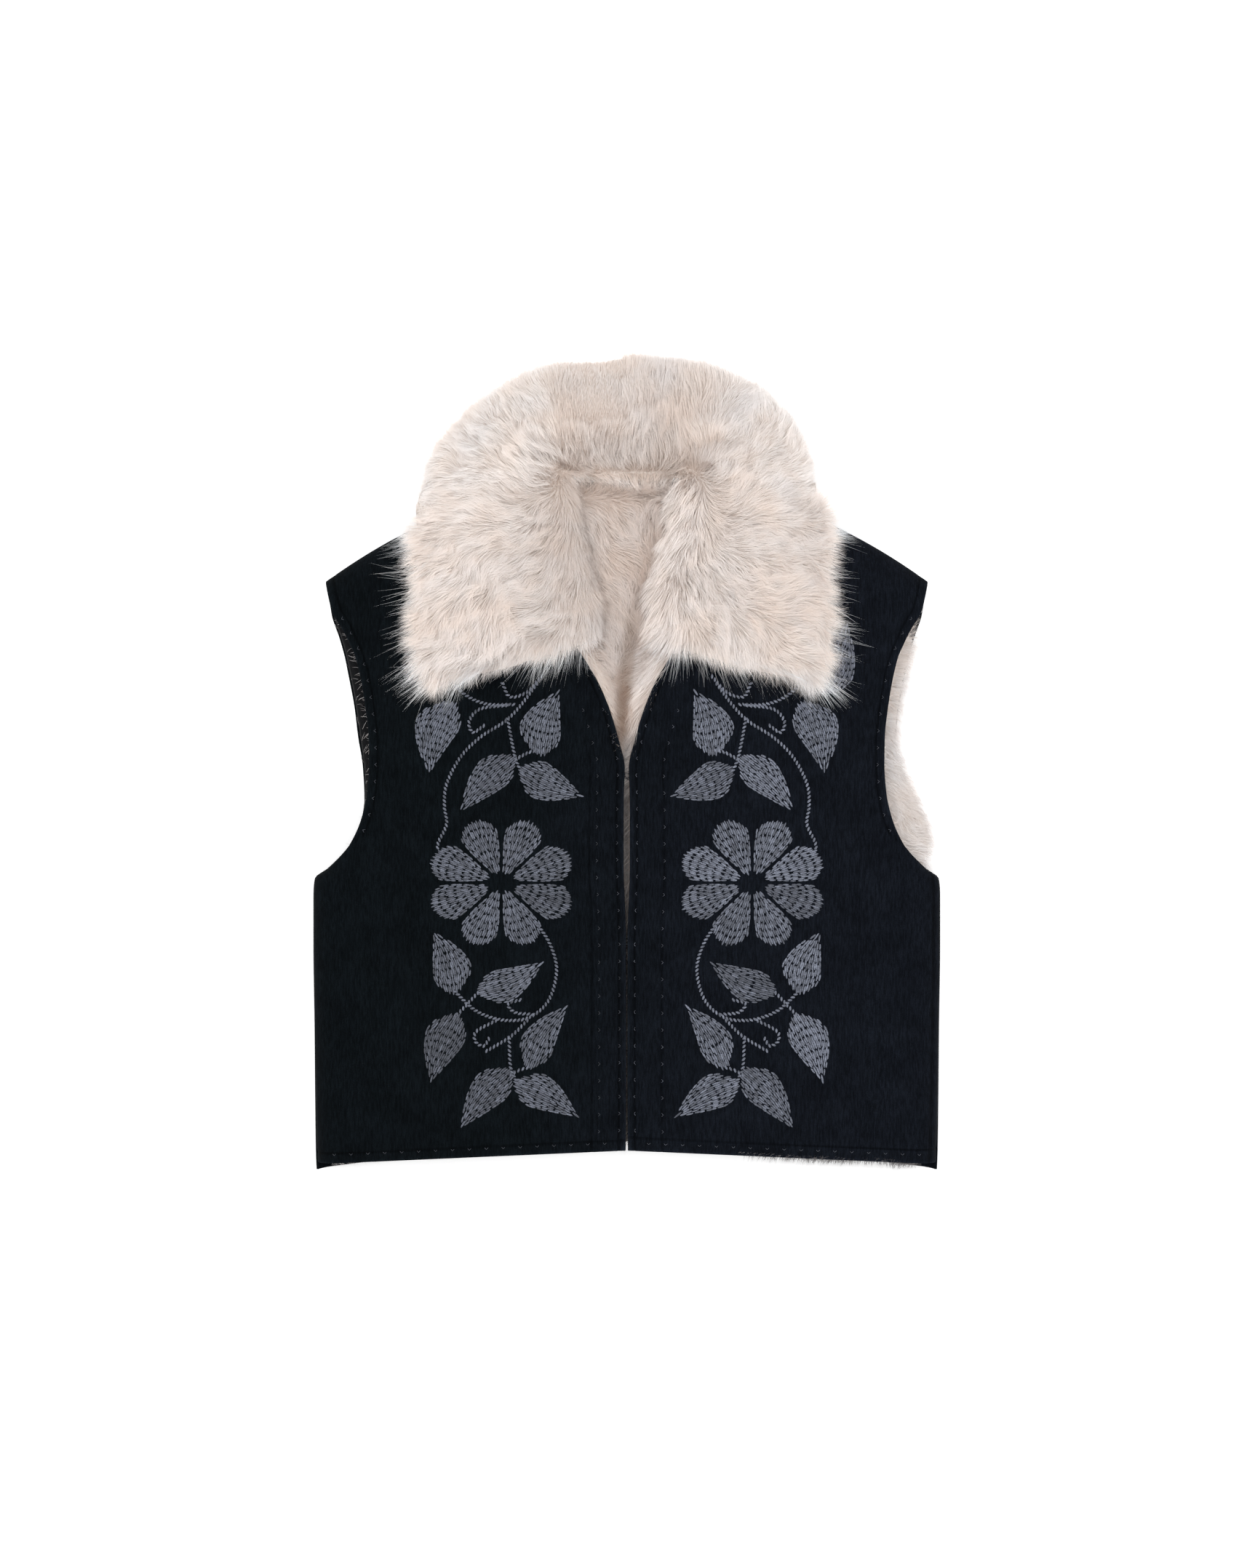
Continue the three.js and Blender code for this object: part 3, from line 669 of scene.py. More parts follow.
def stitch_tree():
    """Stitches: a short rounded thread on each point, turned along it and raised from the cloth."""
    g = GeometryTree("Stitches", {"Material": "Material"})
    align = "FunctionNodeAlignRotationToVector"
    g.then("GeometryNodeMeshToPoints", out="Points", into="Mesh")
    along = node(g.tree, align, {"Vector": g.stored_vector("along")}, axis="X")
    upright = {"Rotation": along, "Vector": g.stored_vector("up")}
    turned = node(g.tree, align, upright, axis="Z", pivot_axis="X")
    thread = g.result_of(thread_tree(), {})
    inputs = {"Instance": thread, "Rotation": turned, "Scale": g.stored_vector("size")}
    g.then("GeometryNodeInstanceOnPoints", inputs, out="Instances", into="Points")
    g.then("GeometryNodeRealizeInstances")
    g.then("GeometryNodeSetMaterial", {"Material": g.given("Material")})
    return g.end()


def without_helpers(obj, names):
    for name in names:
        attribute = obj.data.attributes.get(name)
        if attribute:
            obj.data.attributes.remove(attribute)
    return obj


# ---------------------------------------------------------------- materials


def new_material(name, roughness, **settings):
    material = bpy.data.materials.new(name)
    material.use_nodes = True
    shader = material.node_tree.nodes["Principled BSDF"]
    shader.inputs["Roughness"].default_value = roughness
    for key, value in settings.items():
        shader.inputs[key.replace("_", " ")].default_value = value
    return material, material.node_tree, shader


def set_colour(tree, shader, colour):
    tree.links.new(colour.socket, shader.inputs["Base Color"])


def blend_colours(tree, factor, a, b):
    made = node(tree, "ShaderNodeMix", out=None, data_type="RGBA", blend_type="MIX")
    for key, value in (("Factor", factor), ("A", a), ("B", b)):
        socket = enabled(made.inputs, key)
        if isinstance(value, Field):
            tree.links.new(value.socket, socket)
        else:
            socket.default_value = value if key == "Factor" else (*value, 1.0)
    return Field(tree, enabled(made.outputs, "Result"))


def object_place(tree):
    return node(tree, "ShaderNodeTexCoord", out="Object")


def painted(tree, name, out="Fac"):
    """What the mesh's attribute of this name holds at each point."""
    return node(tree, "ShaderNodeAttribute", out=out, attribute_name=name)


def tinted(colour, tint):
    return tuple(c * t for c, t in zip(colour, tint))


def bump(tree, shader, height, distance, strength=1.0):
    inputs = {"Height": height, "Distance": distance, "Strength": strength}
    normal = node(tree, "ShaderNodeBump", inputs, out="Normal")
    tree.links.new(normal.socket, shader.inputs["Normal"])


RIB_PITCH = 0.0021


def cloth_material(name, settings):
    """Felted cloth: near black, with fine upright streaks of nap and faint ribs, painted shade in the grooves
    of the sewn lines and a painted highlight along the turned edges."""
    looks = {"Specular_IOR_Level": 0.03, "Sheen_Weight": 0.004, "Sheen_Roughness": 0.45}
    material, tree, shader = new_material(name, 0.88, Sheen_Tint=(0.55, 0.62, 0.75, 1), **looks)
    place = object_place(tree)
    x = place.part("X")
    drift = noise(tree, place, 7.0, 2.0) - 0.5
    towards_left = (x + drift * 0.12).between(-0.14, 0.1)
    colour = blend_colours(tree, towards_left, settings.right, settings.left)
    upright = (1 / settings.nap, 0.14 / settings.nap, 0.3 / settings.nap)
    streaks = noise(tree, place * upright, 1.0, 3.0, roughness=0.6)
    fuzz = noise(tree, place, 1.6 / settings.nap, 3.0, roughness=0.65)
    cloudy = noise(tree, place, 45.0, 3.0)
    shade = streaks.between(0.3, 0.72, 0.62, 1.45) * fuzz.between(0.3, 0.75, 0.72, 1.35)
    shade = shade * cloudy.between(0.3, 0.7, 0.85, 1.15)
    # Painted shade darkens the grooves of the sewn lines, and a painted highlight lightens the turned edges.
    marks = painted(tree, "sewn").between(0, 1, 1.0, 0.45) * painted(tree, "wear_and_highlight").between(0, 1, 1.0, 1.7)
    set_colour(tree, shader, colour * shade * marks)
    ribs = (x * (2 * pi / RIB_PITCH) + drift * 6.0).sine()
    bump(tree, shader, streaks * 0.8 + fuzz * 0.5 + ribs * 0.06, 0.0004, 0.8)
    return material


WARM_TINT = (0.97, 0.90, 0.84)
COOL_FUR = (0.88, 0.85, 0.85)
# Colour of the painted shade in the valley between the fronts.
VALLEY_SHADE_TINT = (0.5, 0.4, 0.32)
BARE_FUR = (0.004, 0.0045, 0.0055)


def fur_material(name, settings, tip_tint=(1, 1, 1), root_tint=(1, 1, 1), dark=0.0):
    """Hairs that run from darker roots to pale tips, some locks a little warmer or cooler than others, with
    painted shade, dark brown, down the valley between the fronts, and the painted shade that the mesh's
    attribute shade holds."""
    looks = {"Specular_IOR_Level": 0.25, "Sheen_Weight": 0.12, "Sheen_Roughness": 0.5}
    material, tree, shader = new_material(name, 0.62, **looks)
    place = object_place(tree)
    along = painted(tree, "along").between(0.0, 0.75)
    tip = tinted(settings.tip, tip_tint)
    hair = blend_colours(tree, along, tinted(settings.root, root_tint), tip)
    warm = noise(tree, place, 30.0, 3.0).between(0.36, 0.66)
    hair = blend_colours(tree, warm * 0.5, hair, tinted(tip, WARM_TINT))
    cool = noise(tree, place * (1.0, 0.7, 1.0), 24.0, 2.0).between(0.5, 0.72)
    hair = blend_colours(tree, cool * 0.3, hair, COOL_FUR)
    tone = painted(tree, "tone").between(0.0, 1.0, 0.9 - dark, 1.03 - dark)
    # Painted shade: a brown stripe down the valley between the fronts, weaker towards the hairs' tips.
    y = place.part("Y")
    from_valley = (place.part("X") - (y * 0.1 - 0.008)).size()
    in_v = y.between(0.0, 0.03) * y.between(0.09, 0.13, 1.0, 0.0)
    in_valley = from_valley.between(0.001, 0.009, 1.0, 0.0) * in_v * along.between(0.2, 1.0, 1.0, 0.55)
    valley_shade = blend_colours(tree, in_valley, (1.0, 1.0, 1.0), VALLEY_SHADE_TINT)
    set_colour(tree, shader, hair * tone * painted(tree, "shade", "Vector") * valley_shade)
    return material


def pile_material(name, settings):
    """The short dense under-fur that shows between the hairs, near black where it is bare."""
    material, tree, shader = new_material(name, 0.85, Specular_IOR_Level=0.1, Sheen_Weight=0.03)
    place = object_place(tree)
    strands = noise(tree, place * (900.0, 330.0, 500.0), 1.0, 3.0, roughness=0.7)
    middle = tuple(mix(root, tip, 0.55) for root, tip in zip(settings.root, settings.tip))
    deep = tuple(root * 0.8 for root in settings.root)
    # The attribute shade holds painted shade: darker at the neck's seam, in its valley and in the slit.
    colour = blend_colours(tree, strands.between(0.35, 0.7), deep, middle) * painted(tree, "shade", "Vector")
    bare = painted(tree, "bare").between(0.2, 0.8)
    set_colour(tree, shader, blend_colours(tree, bare, colour, BARE_FUR))
    bump(tree, shader, strands, 0.0012, 0.9)
    return material


def thread_material(settings):
    """Stranded embroidery thread with a soft lustre, its colour varied at random from stitch to stitch and in
    fine patches that are partly painted highlight.
    """
    looks = {"Specular_IOR_Level": 0.45, "Sheen_Weight": 0.05}
    material, tree, shader = new_material("Embroidery thread", 0.45, **looks)
    place = object_place(tree)
    paler_left = place.part("X").between(-0.03, 0.06, 1.0, 1.28)
    shade = painted(tree, "tone").between(0.0, 1.0, 0.6, 1.5) * paler_left
    # Fine brighter and darker patches: partly random tone, partly painted highlight standing in for the
    # thread's glints.
    patch_and_highlight = noise(tree, place, 1100.0, 3.0, roughness=0.6).between(0.32, 0.7, 0.62, 1.55)
    base = node(tree, "ShaderNodeRGB", out="Color")
    base.socket.default_value = (*settings.colour, 1)
    set_colour(tree, shader, base * (shade * patch_and_highlight))
    strands = (painted(tree, "across") * 11.0).sine() + patch_and_highlight
    bump(tree, shader, strands, 0.00015, 0.8)
    return material


def wire_material():
    """Black enamelled wire."""
    material, tree, shader = new_material("Black enamelled wire", 0.35, Metallic=0.6)
    wear_and_highlight = noise(tree, object_place(tree), 900.0, 2.0).between(0.55, 0.75)
    set_colour(tree, shader, blend_colours(tree, wear_and_highlight, (0.012, 0.012, 0.014), (0.05, 0.05, 0.055)))
    return material


# ---------------------------------------------------------------- surfaces that threads and hairs stand on


def surface_of(obj):
    points = [v.co.copy() for v in obj.data.vertices]
    return BVHTree.FromPolygons(points, [tuple(p.vertices) for p in obj.data.polygons])


def drop_onto(surface, x, y):
    """Place and normal of the surface under a plan position in millimetres, or None beside it."""
    place, normal, _, _ = surface.ray_cast(Vector((x * MM, y * MM, 0.2)), Vector((0, 0, -1)))
    return (place, normal) if place else None


class Stitches:
    """Collects stitches on a surface: each has its middle, direction, size and tone."""

    def __init__(self, surface):
        self.surface = surface
        self.rows = []

    def add(self, x, y, dx, dy, length, width, height, tone, sunk=0.1):
        hit = drop_onto(self.surface, x, y)
        if not hit:
            return
        place, normal = hit
        along = Vector((dx, dy, 0))
        along = (along - normal * along.dot(normal)).normalized()
        self.rows.append((*(place - normal * (height * sunk)), *along, *normal, length, width, height, tone))

    def made(self, name, tree, material):
        table = np.array(self.rows, float)
        mesh = bpy.data.meshes.new(name + " points")
        mesh.from_pydata(table[:, :3].tolist(), [], [])
        give_attribute(mesh, "along", table[:, 3:6], "FLOAT_VECTOR")
        give_attribute(mesh, "up", table[:, 6:9], "FLOAT_VECTOR")
        give_attribute(mesh, "size", table[:, 9:12], "FLOAT_VECTOR")
        give_attribute(mesh, "tone", table[:, 12])
        points = link(mesh, name + " points")
        obj = tree.result_on(points, name, {"Material": material})
        bpy.data.objects.remove(points)
        without_helpers(obj, ("along", "up", "size"))
        obj.data.polygons.foreach_set("use_smooth", np.ones(len(obj.data.polygons), bool))
        return obj


# ---------------------------------------------------------------- embroidery, for the wearer's right front

FLOWER = (-100.0, -94.4)
FLOWER_RADIUS = 52.5
PETALS = 8
PETAL_WIDTH = 30.0
FLOWER_STRETCH = 1.13
Leaf = namedtuple("Leaf", "base_x base_y tip_x tip_y width bend")
LEAVES = [
    Leaf(-139.5, 50, -157.5, -7.5, 34, -6),
    Leaf(-70.5, 7.5, -53.7, 59.2, 33, 5),
    Leaf(-90.2, 5.8, -133, -38.0, 28, -3),
    Leaf(-85, -4, -35.1, -25.5, 29.5, -2),
    Leaf(-136.6, -182.1, -154, -133.5, 31, -4),
    Leaf(-118.6, -182.1, -66.5, -157.5, 27, -4),
    Leaf(-134.9, -199.5, -156.3, -253.5, 31, -3),
    Leaf(-79.2, -241.9, -47.4, -192.5, 27, 4),
    Leaf(-92.5, -243.6, -132.4, -290, 29, -3),
    Leaf(-89, -253.5, -38.7, -281.1, 28, 3),
]
LEAF_BESIDE_COLLAR = Leaf(-152, 56, -176, 113, 34, 4)
STEMS = [
    [(-150.8, -66.5), (-149.9, -61.5), (-143.6, -47.6), (-145.3, -33.1), (-143.6, -15.7), (-132.5, 5.8),
     (-116.9, 21.5), (-97.2, 34.2), (-85, 46.4), (-71.6, 64.4)],
    [(-90.2, 47.6), (-111.7, 48.1), (-129.1, 55.7), (-146, 72)],
    [(-95.4, 47), (-116.9, 44.1), (-125.6, 34.2), (-122.7, 25.5), (-114, 30.7)],
    [(-98.9, 64.4), (-93.1, 53.9), (-79.8, 57.4), (-68, 70)],
    [(-94.8, 36), (-91.9, 19.7), (-88.5, 4.1), (-84.6, -4.9)],
    [(-88.5, 4.1), (-78, 9.5), (-70.5, 11)],
    [(-72.2, -126.4), (-61.8, -142.1), (-56, -161.2), (-58.9, -180.4), (-66.4, -193.7), (-79.2, -202.4),
     (-92.5, -204.2), (-105.9, -202.4), (-121.5, -195.5), (-136.9, -181.2)],
    [(-118.6, -182.1), (-128.5, -192.6), (-134.9, -199.5)],
    [(-75.1, -199.5), (-89, -197.8), (-94.7, -191), (-85, -187.9)],
    [(-104.1, -204.2), (-119.8, -212.9), (-120.4, -221), (-114, -224.5), (-109.9, -218.8)],
    [(-79.2, -204.2), (-92.5, -216.9), (-111.7, -228.5)],
    [(-93.7, -218.1), (-92.5, -241.9), (-86.9, -254.5)],
    [(-79.2, -241.9), (-86, -244), (-92.5, -248)],
]
ROPE_STEP = 3.2
ROPE_SLANT = radians(43)


def curve_points(points, step):
    """Points and directions at even steps on a smooth curve through these points."""
    p = np.array(points, float)
    ends = np.concatenate([2 * p[:1] - p[1:2], p, 2 * p[-1:] - p[-2:-1]])
    t = np.linspace(0, 1, 24, endpoint=False)[:, None]
    runs = []
    for a, b, c, d in zip(ends, ends[1:], ends[2:], ends[3:]):
        runs.append(b + 0.5 * (c - a) * t + (a - 2.5 * b + 2 * c - 0.5 * d) * t**2
                    + (1.5 * (b - c) + 0.5 * (d - a)) * t**3)
    fine = np.concatenate([*runs, p[-1:]])
    far = np.concatenate([[0], np.cumsum(np.linalg.norm(np.diff(fine, axis=0), axis=1))])
    at = np.linspace(0, far[-1], max(2, int(far[-1] / step) + 1))
    place = np.stack([np.interp(at, far, fine[:, k]) for k in (0, 1)], axis=1)
    return place, np.gradient(place, axis=0)


# How a petal and a leaf are filled. Places along them are shares of their length.
PETAL_FROM = 0.205
PETAL_SHOULDER = 0.70
LEAF_SHOULDER = 0.36
LEAF_FILL = 0.535
LONG_AND_SHORT = 0.12
ROW_OVERLAP = 0.90
STITCH_OVERLAP = 0.94


def petal_fan(s):
    """Half the width of a petal's fan of stitches, narrow at the flower's middle."""
    return np.minimum(0.20 + 1.13 * s, 1.0) + 0.05 * smooth((s - 0.1) / 0.3) * smooth((0.75 - s) / 0.3)


def petal_ends(v):
    """Where the stitches at v, from side to side, start and stop along a petal: it is round at its end."""
    return 0.05 * v**2, PETAL_SHOULDER - 0.06 + (1.06 - PETAL_SHOULDER) * (1 - abs(v) ** 1.95) ** 0.5


def leaf_fan(s):
    """Half the width of a leaf's fan of stitches, drawn together towards its point."""
    return 1 - 0.30 * (1 - smooth(s / LEAF_SHOULDER)) - 0.97 * np.clip((s - 0.3) / 0.7, 0, 1) ** 1.5


def leaf_ends(v):
    """Where the stitches at v start and stop along a leaf: it is round at its base and pointed at its tip."""
    return 0.22 * abs(v) ** 2.2, 1 - 0.10 * abs(v) ** 1.2


def fill_shape(stitches, random, place, fan, ends, length, width, thread, tone):
    """Fills a shape with arcs of long and short stitches. place(s, v) is a plan position, with s along the
    shape and v across its fan of stitches."""
    rows = max(3, round(length / (thread.stitch / MM * ROW_OVERLAP)))
    for r in range(rows):
        f = (r + 0.5) / rows
        breadth = fan(f) * width
        count = max(2, round(breadth / (thread.width / MM * STITCH_OVERLAP)))
        for k in range(count):
            v = ((k + 0.5 + random.normal(0, 0.06)) / count * 2 - 1) * 0.985
            first, last = ends(np.clip(v, -1, 1))
            shift = (LONG_AND_SHORT if (k + r) % 2 else -LONG_AND_SHORT) + random.normal(0, 0.06)
            s = first + (last - first) * (f + shift / rows)
            a, b = place(s - 0.02, v), place(s + 0.02, v)
            long = (last - first) * length / rows * random.uniform(1.28, 1.6) * MM
            broad, high = thread.width * random.uniform(0.88, 1.1), thread.height * random.uniform(0.8, 1.2)
            own_tone = np.clip(tone + random.normal(0, 0.2), 0, 1)
            stitches.add(*place(s, v), *(b - a), long, broad, high, own_tone)


def embroider(stitches, side, thread, seed):
    """The flower, its leaves, stems and curls on one front. side is -1 for the wearer's right."""
    random = np.random.default_rng(seed)
    flip = np.array([-side, 1.0])
    reach = thread.flower / MM
    width = PETAL_WIDTH * reach / FLOWER_RADIUS
    for k in range(PETALS):
        angle = radians(22.5 + 360 / PETALS * k)
        out = np.array([cos(angle), sin(angle)])
        beside = np.array([-out[1], out[0]])
        inner = reach * (PETAL_FROM - 0.06 * out[1] ** 2)
        breadth = width * (1 - 0.12 * out[1] ** 2)

        def petal(s, v, out=out, beside=beside, inner=inner, breadth=breadth):
            p = out * (inner + (reach - inner) * s) + beside * v * petal_fan(s) * breadth / 2
            return (np.array(FLOWER) + p * (FLOWER_STRETCH, 1.0)) * flip

        tone = 0.5 + random.normal(0, 0.12)
        fill_shape(stitches, random, petal, petal_fan, petal_ends, reach - inner, breadth, thread, tone)
    for leaf in LEAVES + ([LEAF_BESIDE_COLLAR] if side > 0 else []):
        base, tip = np.array([leaf.base_x, leaf.base_y]), np.array([leaf.tip_x, leaf.tip_y])
        long = np.linalg.norm(tip - base)
        out = (tip - base) / long
        beside = np.array([-out[1], out[0]])

        def blade(s, v, base=base, tip=tip, beside=beside, leaf=leaf):
            middle = base + (tip - base) * s + beside * leaf.bend * sin(pi * s)
            return (middle + beside * v * leaf_fan(s) * leaf.width * LEAF_FILL) * flip

        tone = 0.5 + random.normal(0, 0.14)
        fill_shape(stitches, random, blade, leaf_fan, leaf_ends, long, leaf.width, thread, tone)
    for stem in STEMS:
        rope(stitches, random, np.array(stem) * flip, -side, thread)


def rope(stitches, random, points, turn, thread):
    """A stem of short slanted stitches that lie over each other like the strands of a rope."""
    slant = ROPE_SLANT * turn
    sizes = ROPE_STEP * 1.55 * MM, thread.width * 1.2, thread.height * 1.8
    for (x, y), (dx, dy) in zip(*curve_points(points, ROPE_STEP)):
        ax, ay = dx * cos(slant) - dy * sin(slant), dx * sin(slant) + dy * cos(slant)
        stitches.add(x, y, ax, ay, *sizes, np.clip(0.64 + random.normal(0, 0.15), 0, 1))


EDGE_PITCH = 13.5
V_SIZE = 2.9
V_THREAD = 0.36
V_HEIGHT = 0.4


def v_stitch(stitches, random, x, y, dx, dy, tone):
    """Two short strokes that meet in a point on the side (dx, dy)."""
    far = np.hypot(dx, dy)
    ox, oy = dx / far * V_SIZE / 2, dy / far * V_SIZE / 2
    tone = np.clip(tone, 0, 1)
    for turn in (-1, 1):
        ax, ay = ox - turn * oy * 0.9, oy + turn * ox * 0.9
        place = x + ox * 0.4 + turn * oy * 0.45, y + oy * 0.4 - turn * ox * 0.45
        long = V_SIZE * random.uniform(0.85, 1.15) * MM
        stitches.add(*place, ax, ay, long, V_THREAD * MM, V_HEIGHT * MM, tone, sunk=0.0)


def front_place(side, row, inward):
    """Plan position of a front at a row, this far from its free edge or, if negative, from its side edge."""
    at = [column_at(FRONT_ROWS, k, row) for k in FrontRow._fields]
    width = np.hypot(at[2] - at[0], at[3] - at[1])
    t = (inward if inward > 0 else width + inward) / width
    return side * mix(at[0], at[2], t), mix(at[1], at[3], t)


def evenly_along(path, pitch):
    far = np.concatenate([[0], np.cumsum(np.hypot(*np.diff(path, axis=0).T))])
    at = np.arange(pitch / 2, far[-1], pitch)
    place = np.stack([np.interp(at, far, path[:, k]) for k in (0, 1)], axis=1)
    ahead = np.stack([np.interp(at + 1, far, path[:, k]) for k in (0, 1)], axis=1)
    return place, ahead - place


def stitch_edges(stitches, side, seed):
    """Small v-shaped stitches that hold down the turned edges: at the front, the armhole and the hem."""
    random = np.random.default_rng(seed)
    body = np.linspace(0.9, 13.5, 160)
    arm = np.linspace(UNDERARM_ROW + 2.2, SHOULDER_ROW, 90)
    columns = ((6.4, -1, 0.5), (27.3, 1, 0.3)) if side > 0 else ((5.9, 1, 0.3), (22.0, 1, 0.0))
    for inward, point, tone in columns:
        path = np.stack(front_place(side, body, inward), axis=1)
        for (x, y), _ in zip(*evenly_along(path, EDGE_PITCH)):
            v_stitch(stitches, random, x, y, point, 0, tone + random.normal(0, 0.1))
    path = np.stack(front_place(side, arm, -6.5), axis=1)
    for (x, y), (dx, dy) in zip(*evenly_along(path, EDGE_PITCH)):
        v_stitch(stitches, random, x, y, side * dy, -side * dx, 0.1 + random.normal(0, 0.12))
    across = np.linspace(0.04, 0.97, 60)
    ends = [np.array(front_place(side, np.array([0.7]), d)).ravel() for d in (0.1, -0.1)]
    path = ends[0] + (ends[1] - ends[0]) * across[:, None]
    for (x, y), _ in zip(*evenly_along(path, EDGE_PITCH)):
        v_stitch(stitches, random, x, y, 0, -1, 0.05 + random.normal(0, 0.12))


# ---------------------------------------------------------------- cloth panels


# Places of the sewn lines on a front, in millimetres from the edge that each runs along.
EDGE_LINE = 5.6
SECOND_LINE = 27.4
HEM_LINE = {-1: 8.5, 1: 11.0}
ARMHOLE_LINE = 7.5
SIDE_LINE = 6.5
LINE_WIDTH = 0.9
# How far in from a turned edge its painted highlight fades.
EDGE_HIGHLIGHT_WIDTH = 1.8


def grid_of_front(side, groove):
    """The outer and inner points of a front, how much each point is sewn down, and the painted highlight
    along its turned edges.
    """
    row = row_stops(FRONT_ROWS, ("edge", "side"), 5.2)
    hem_rows = np.interp([0, 1.2, 2.6, 4.5, 6.5, 8.5, 9.6, 10.6, 11.6, 13, 15], [0, 11.6, 46.6], [0, 1, 2])
    row = np.sort(np.concatenate([row[row > hem_rows[-1] + 0.08], hem_rows]))
    near = [0, 0.9, 2, 3.4, 4.9, 5.6, 6.3, 7.0, 8.2, 10.5, 14, 19, 23, 25.6, 26.6, 27.4, 28.2, 29.2, 32]
    share = np.linspace(0, 1, 30)[1:-1]
    turn = np.arcsin(np.linspace(0, 1, 16) ** 0.8)
    points, far = front_surface(side, row, np.array(near), share, turn)
    normal = grid_normals(points, side)
    inner = points - normal * CLOTH
    open_side = openness(row)[:, None]
    sewn = ridge(far["edge"], EDGE_LINE, LINE_WIDTH) + ridge(far["hem"], HEM_LINE[side], LINE_WIDTH)
    sewn = sewn + 0.7 * ridge(far["edge"], SECOND_LINE, 1.2) * smooth((13 - row) / 2)[:, None]
    sewn = np.clip(sewn + ridge(far["armhole"], ARMHOLE_LINE, 1.1) * open_side, 0, 1)
    if side > 0:
        sewn = np.maximum(sewn, ridge(far["side"], SIDE_LINE, 1.3))
    # Painted highlight: strongest at the free edge, the hem and the open armhole, fading inward.
    wear_and_highlight = np.exp(-far["edge"] / EDGE_HIGHLIGHT_WIDTH) + np.exp(-np.abs(far["hem"]) / EDGE_HIGHLIGHT_WIDTH)
    wear_and_highlight = np.clip(wear_and_highlight + np.exp(-np.abs(far["armhole"]) / EDGE_HIGHLIGHT_WIDTH) * open_side, 0, 1)
    soft = 0.35 * np.sin(far["hem"] / 9.0 + 1.3 * np.sin(far["edge"] / 23)) * np.exp(-far["edge"] / 9)
    outer = points + normal * (soft - groove / MM * sewn)[..., None]
    return outer, inner, {"sewn": sewn, "wear_and_highlight": wear_and_highlight}


def front_piece(side, material, settings):
    name = "felt_front_left" if side > 0 else "felt_front_right"
    outer, inner, marks = grid_of_front(side, settings.groove)
    obj = link(closed_wall(name, outer, inner), name)
    for mark, values in marks.items():
        give_attribute(obj.data, mark, np.concatenate([values.ravel(), 0 * values.ravel()]))
    rounded(obj, 0.0007)
    return shaded(obj, material)


def back_piece(material):
    row = with_shoulder(np.linspace(0, SHOULDER_ROW, 70))
    half = np.linspace(0, 1, 26)
    turns = np.linspace(0, pi / 2, 7)[1:]
    right = np.concatenate([half, np.ones(len(turns))])
    angles = np.concatenate([np.zeros(len(half)), turns])
    share = np.concatenate([-right[:0:-1], right])
    turn = np.concatenate([angles[:0:-1], angles])
    upper, lower = back_surface(row, share, turn)
    obj = link(closed_wall("felt_back", upper, lower), "felt_back")
    rounded(obj, 0.0006)
    return shaded(obj, material)


# ---------------------------------------------------------------- where hairs grow and the way they lie


def unit(v):
    return v / np.maximum(np.linalg.norm(v, axis=-1, keepdims=True), 1e-9)


def one_way(p, direction):
    """The same direction at every point."""
    return np.tile(unit(np.array(direction, np.float32)), (len(p), 1))


def turned_to(flow, other, share):
    return flow * (1 - share[:, None]) + unit(np.array(other, float)) * share[:, None]


NECK = (0.0, 205.0)
LEAF_TOP = 236.0
NECK_SEAM = 230.0
Mark = namedtuple("Mark", "y x")
NECK_EDGE = [
    Mark(92, 35), Mark(105, 23), Mark(129, 23), Mark(155, 30), Mark(180, 35), Mark(203, 40), Mark(220, 44),
    Mark(229, 46),
]
RIGHT_LEAF_EDGE = [
    Mark(92, -30), Mark(105, -28), Mark(163, -40), Mark(210, -45), Mark(258, -50), Mark(305, -58),
]
LEFT_LEAF_EDGE = [Mark(92, 20), Mark(110, 25), Mark(163, 38), Mark(225, 45), Mark(258, 52), Mark(305, 81)]
NECK_VALLEY = 13.0
V_VALLEY = [Mark(0, -6), Mark(49, -6), Mark(94, 2), Mark(123, 15), Mark(150, 13)]
BACK_FRINGE = ((-244, -186),)
FRONT_FRINGE = ((108, 196), (206, 238))
HOLE_REACH = 26.0


def beyond_leaf_edges(p):
    """How far each point lies outside the leaves' inner edges, in millimetres: less than 0 between them."""
    right = np.interp(p[:, 1], *zip(*RIGHT_LEAF_EDGE)) - p[:, 0]
    left = p[:, 0] - np.interp(p[:, 1], *zip(*LEFT_LEAF_EDGE))
    return np.maximum(right, left)


def collar_comb(p, droop=0.35):
    """The way the collar's hairs lie: out from the neck on the leaves, where they fall, straight up behind
    the neck, and down over its edge."""
    x, y = p[:, 0], p[:, 1]
    upright = smooth((y - 232) / 30)
    dx, dy = 0.8 * (x - NECK[0]) * (1 - 0.35 * upright), y - NECK[1]
    far = np.hypot(dx, dy)
    fall = smooth((255 - y) / 90)
    low = smooth((120 - y) / 60)
    flow = unit(np.stack([dx, dy - (0.2 + 0.5 * low) * fall * far, -droop * far], axis=1))
    behind_neck = smooth(1 - beyond_leaf_edges(p) / np.where(x > 0, 14, 5)) * smooth((y - 226) / 6)
    flow = turned_to(flow, (0.03, 1, 0), behind_neck)
    edge = np.interp(y, *zip(*NECK_EDGE))
    by_neck = smooth(1 - (np.abs(x) - edge) / np.where(x > 0, 34, 22)) * smooth((LEAF_TOP - y) / 14)
    flow = turned_to(flow, (-0.5, -0.87, 0), by_neck * (x > 0))
    flow = turned_to(flow, (0.25, -0.97, 0), 0.85 * by_neck * (x < 0))
    seam = smooth(1 - (y - NECK_SEAM) / 9) * (y > 220) * smooth((60 - np.abs(x)) / 10)
    return turned_to(flow, (0, -1, 0), 0.93 * seam)


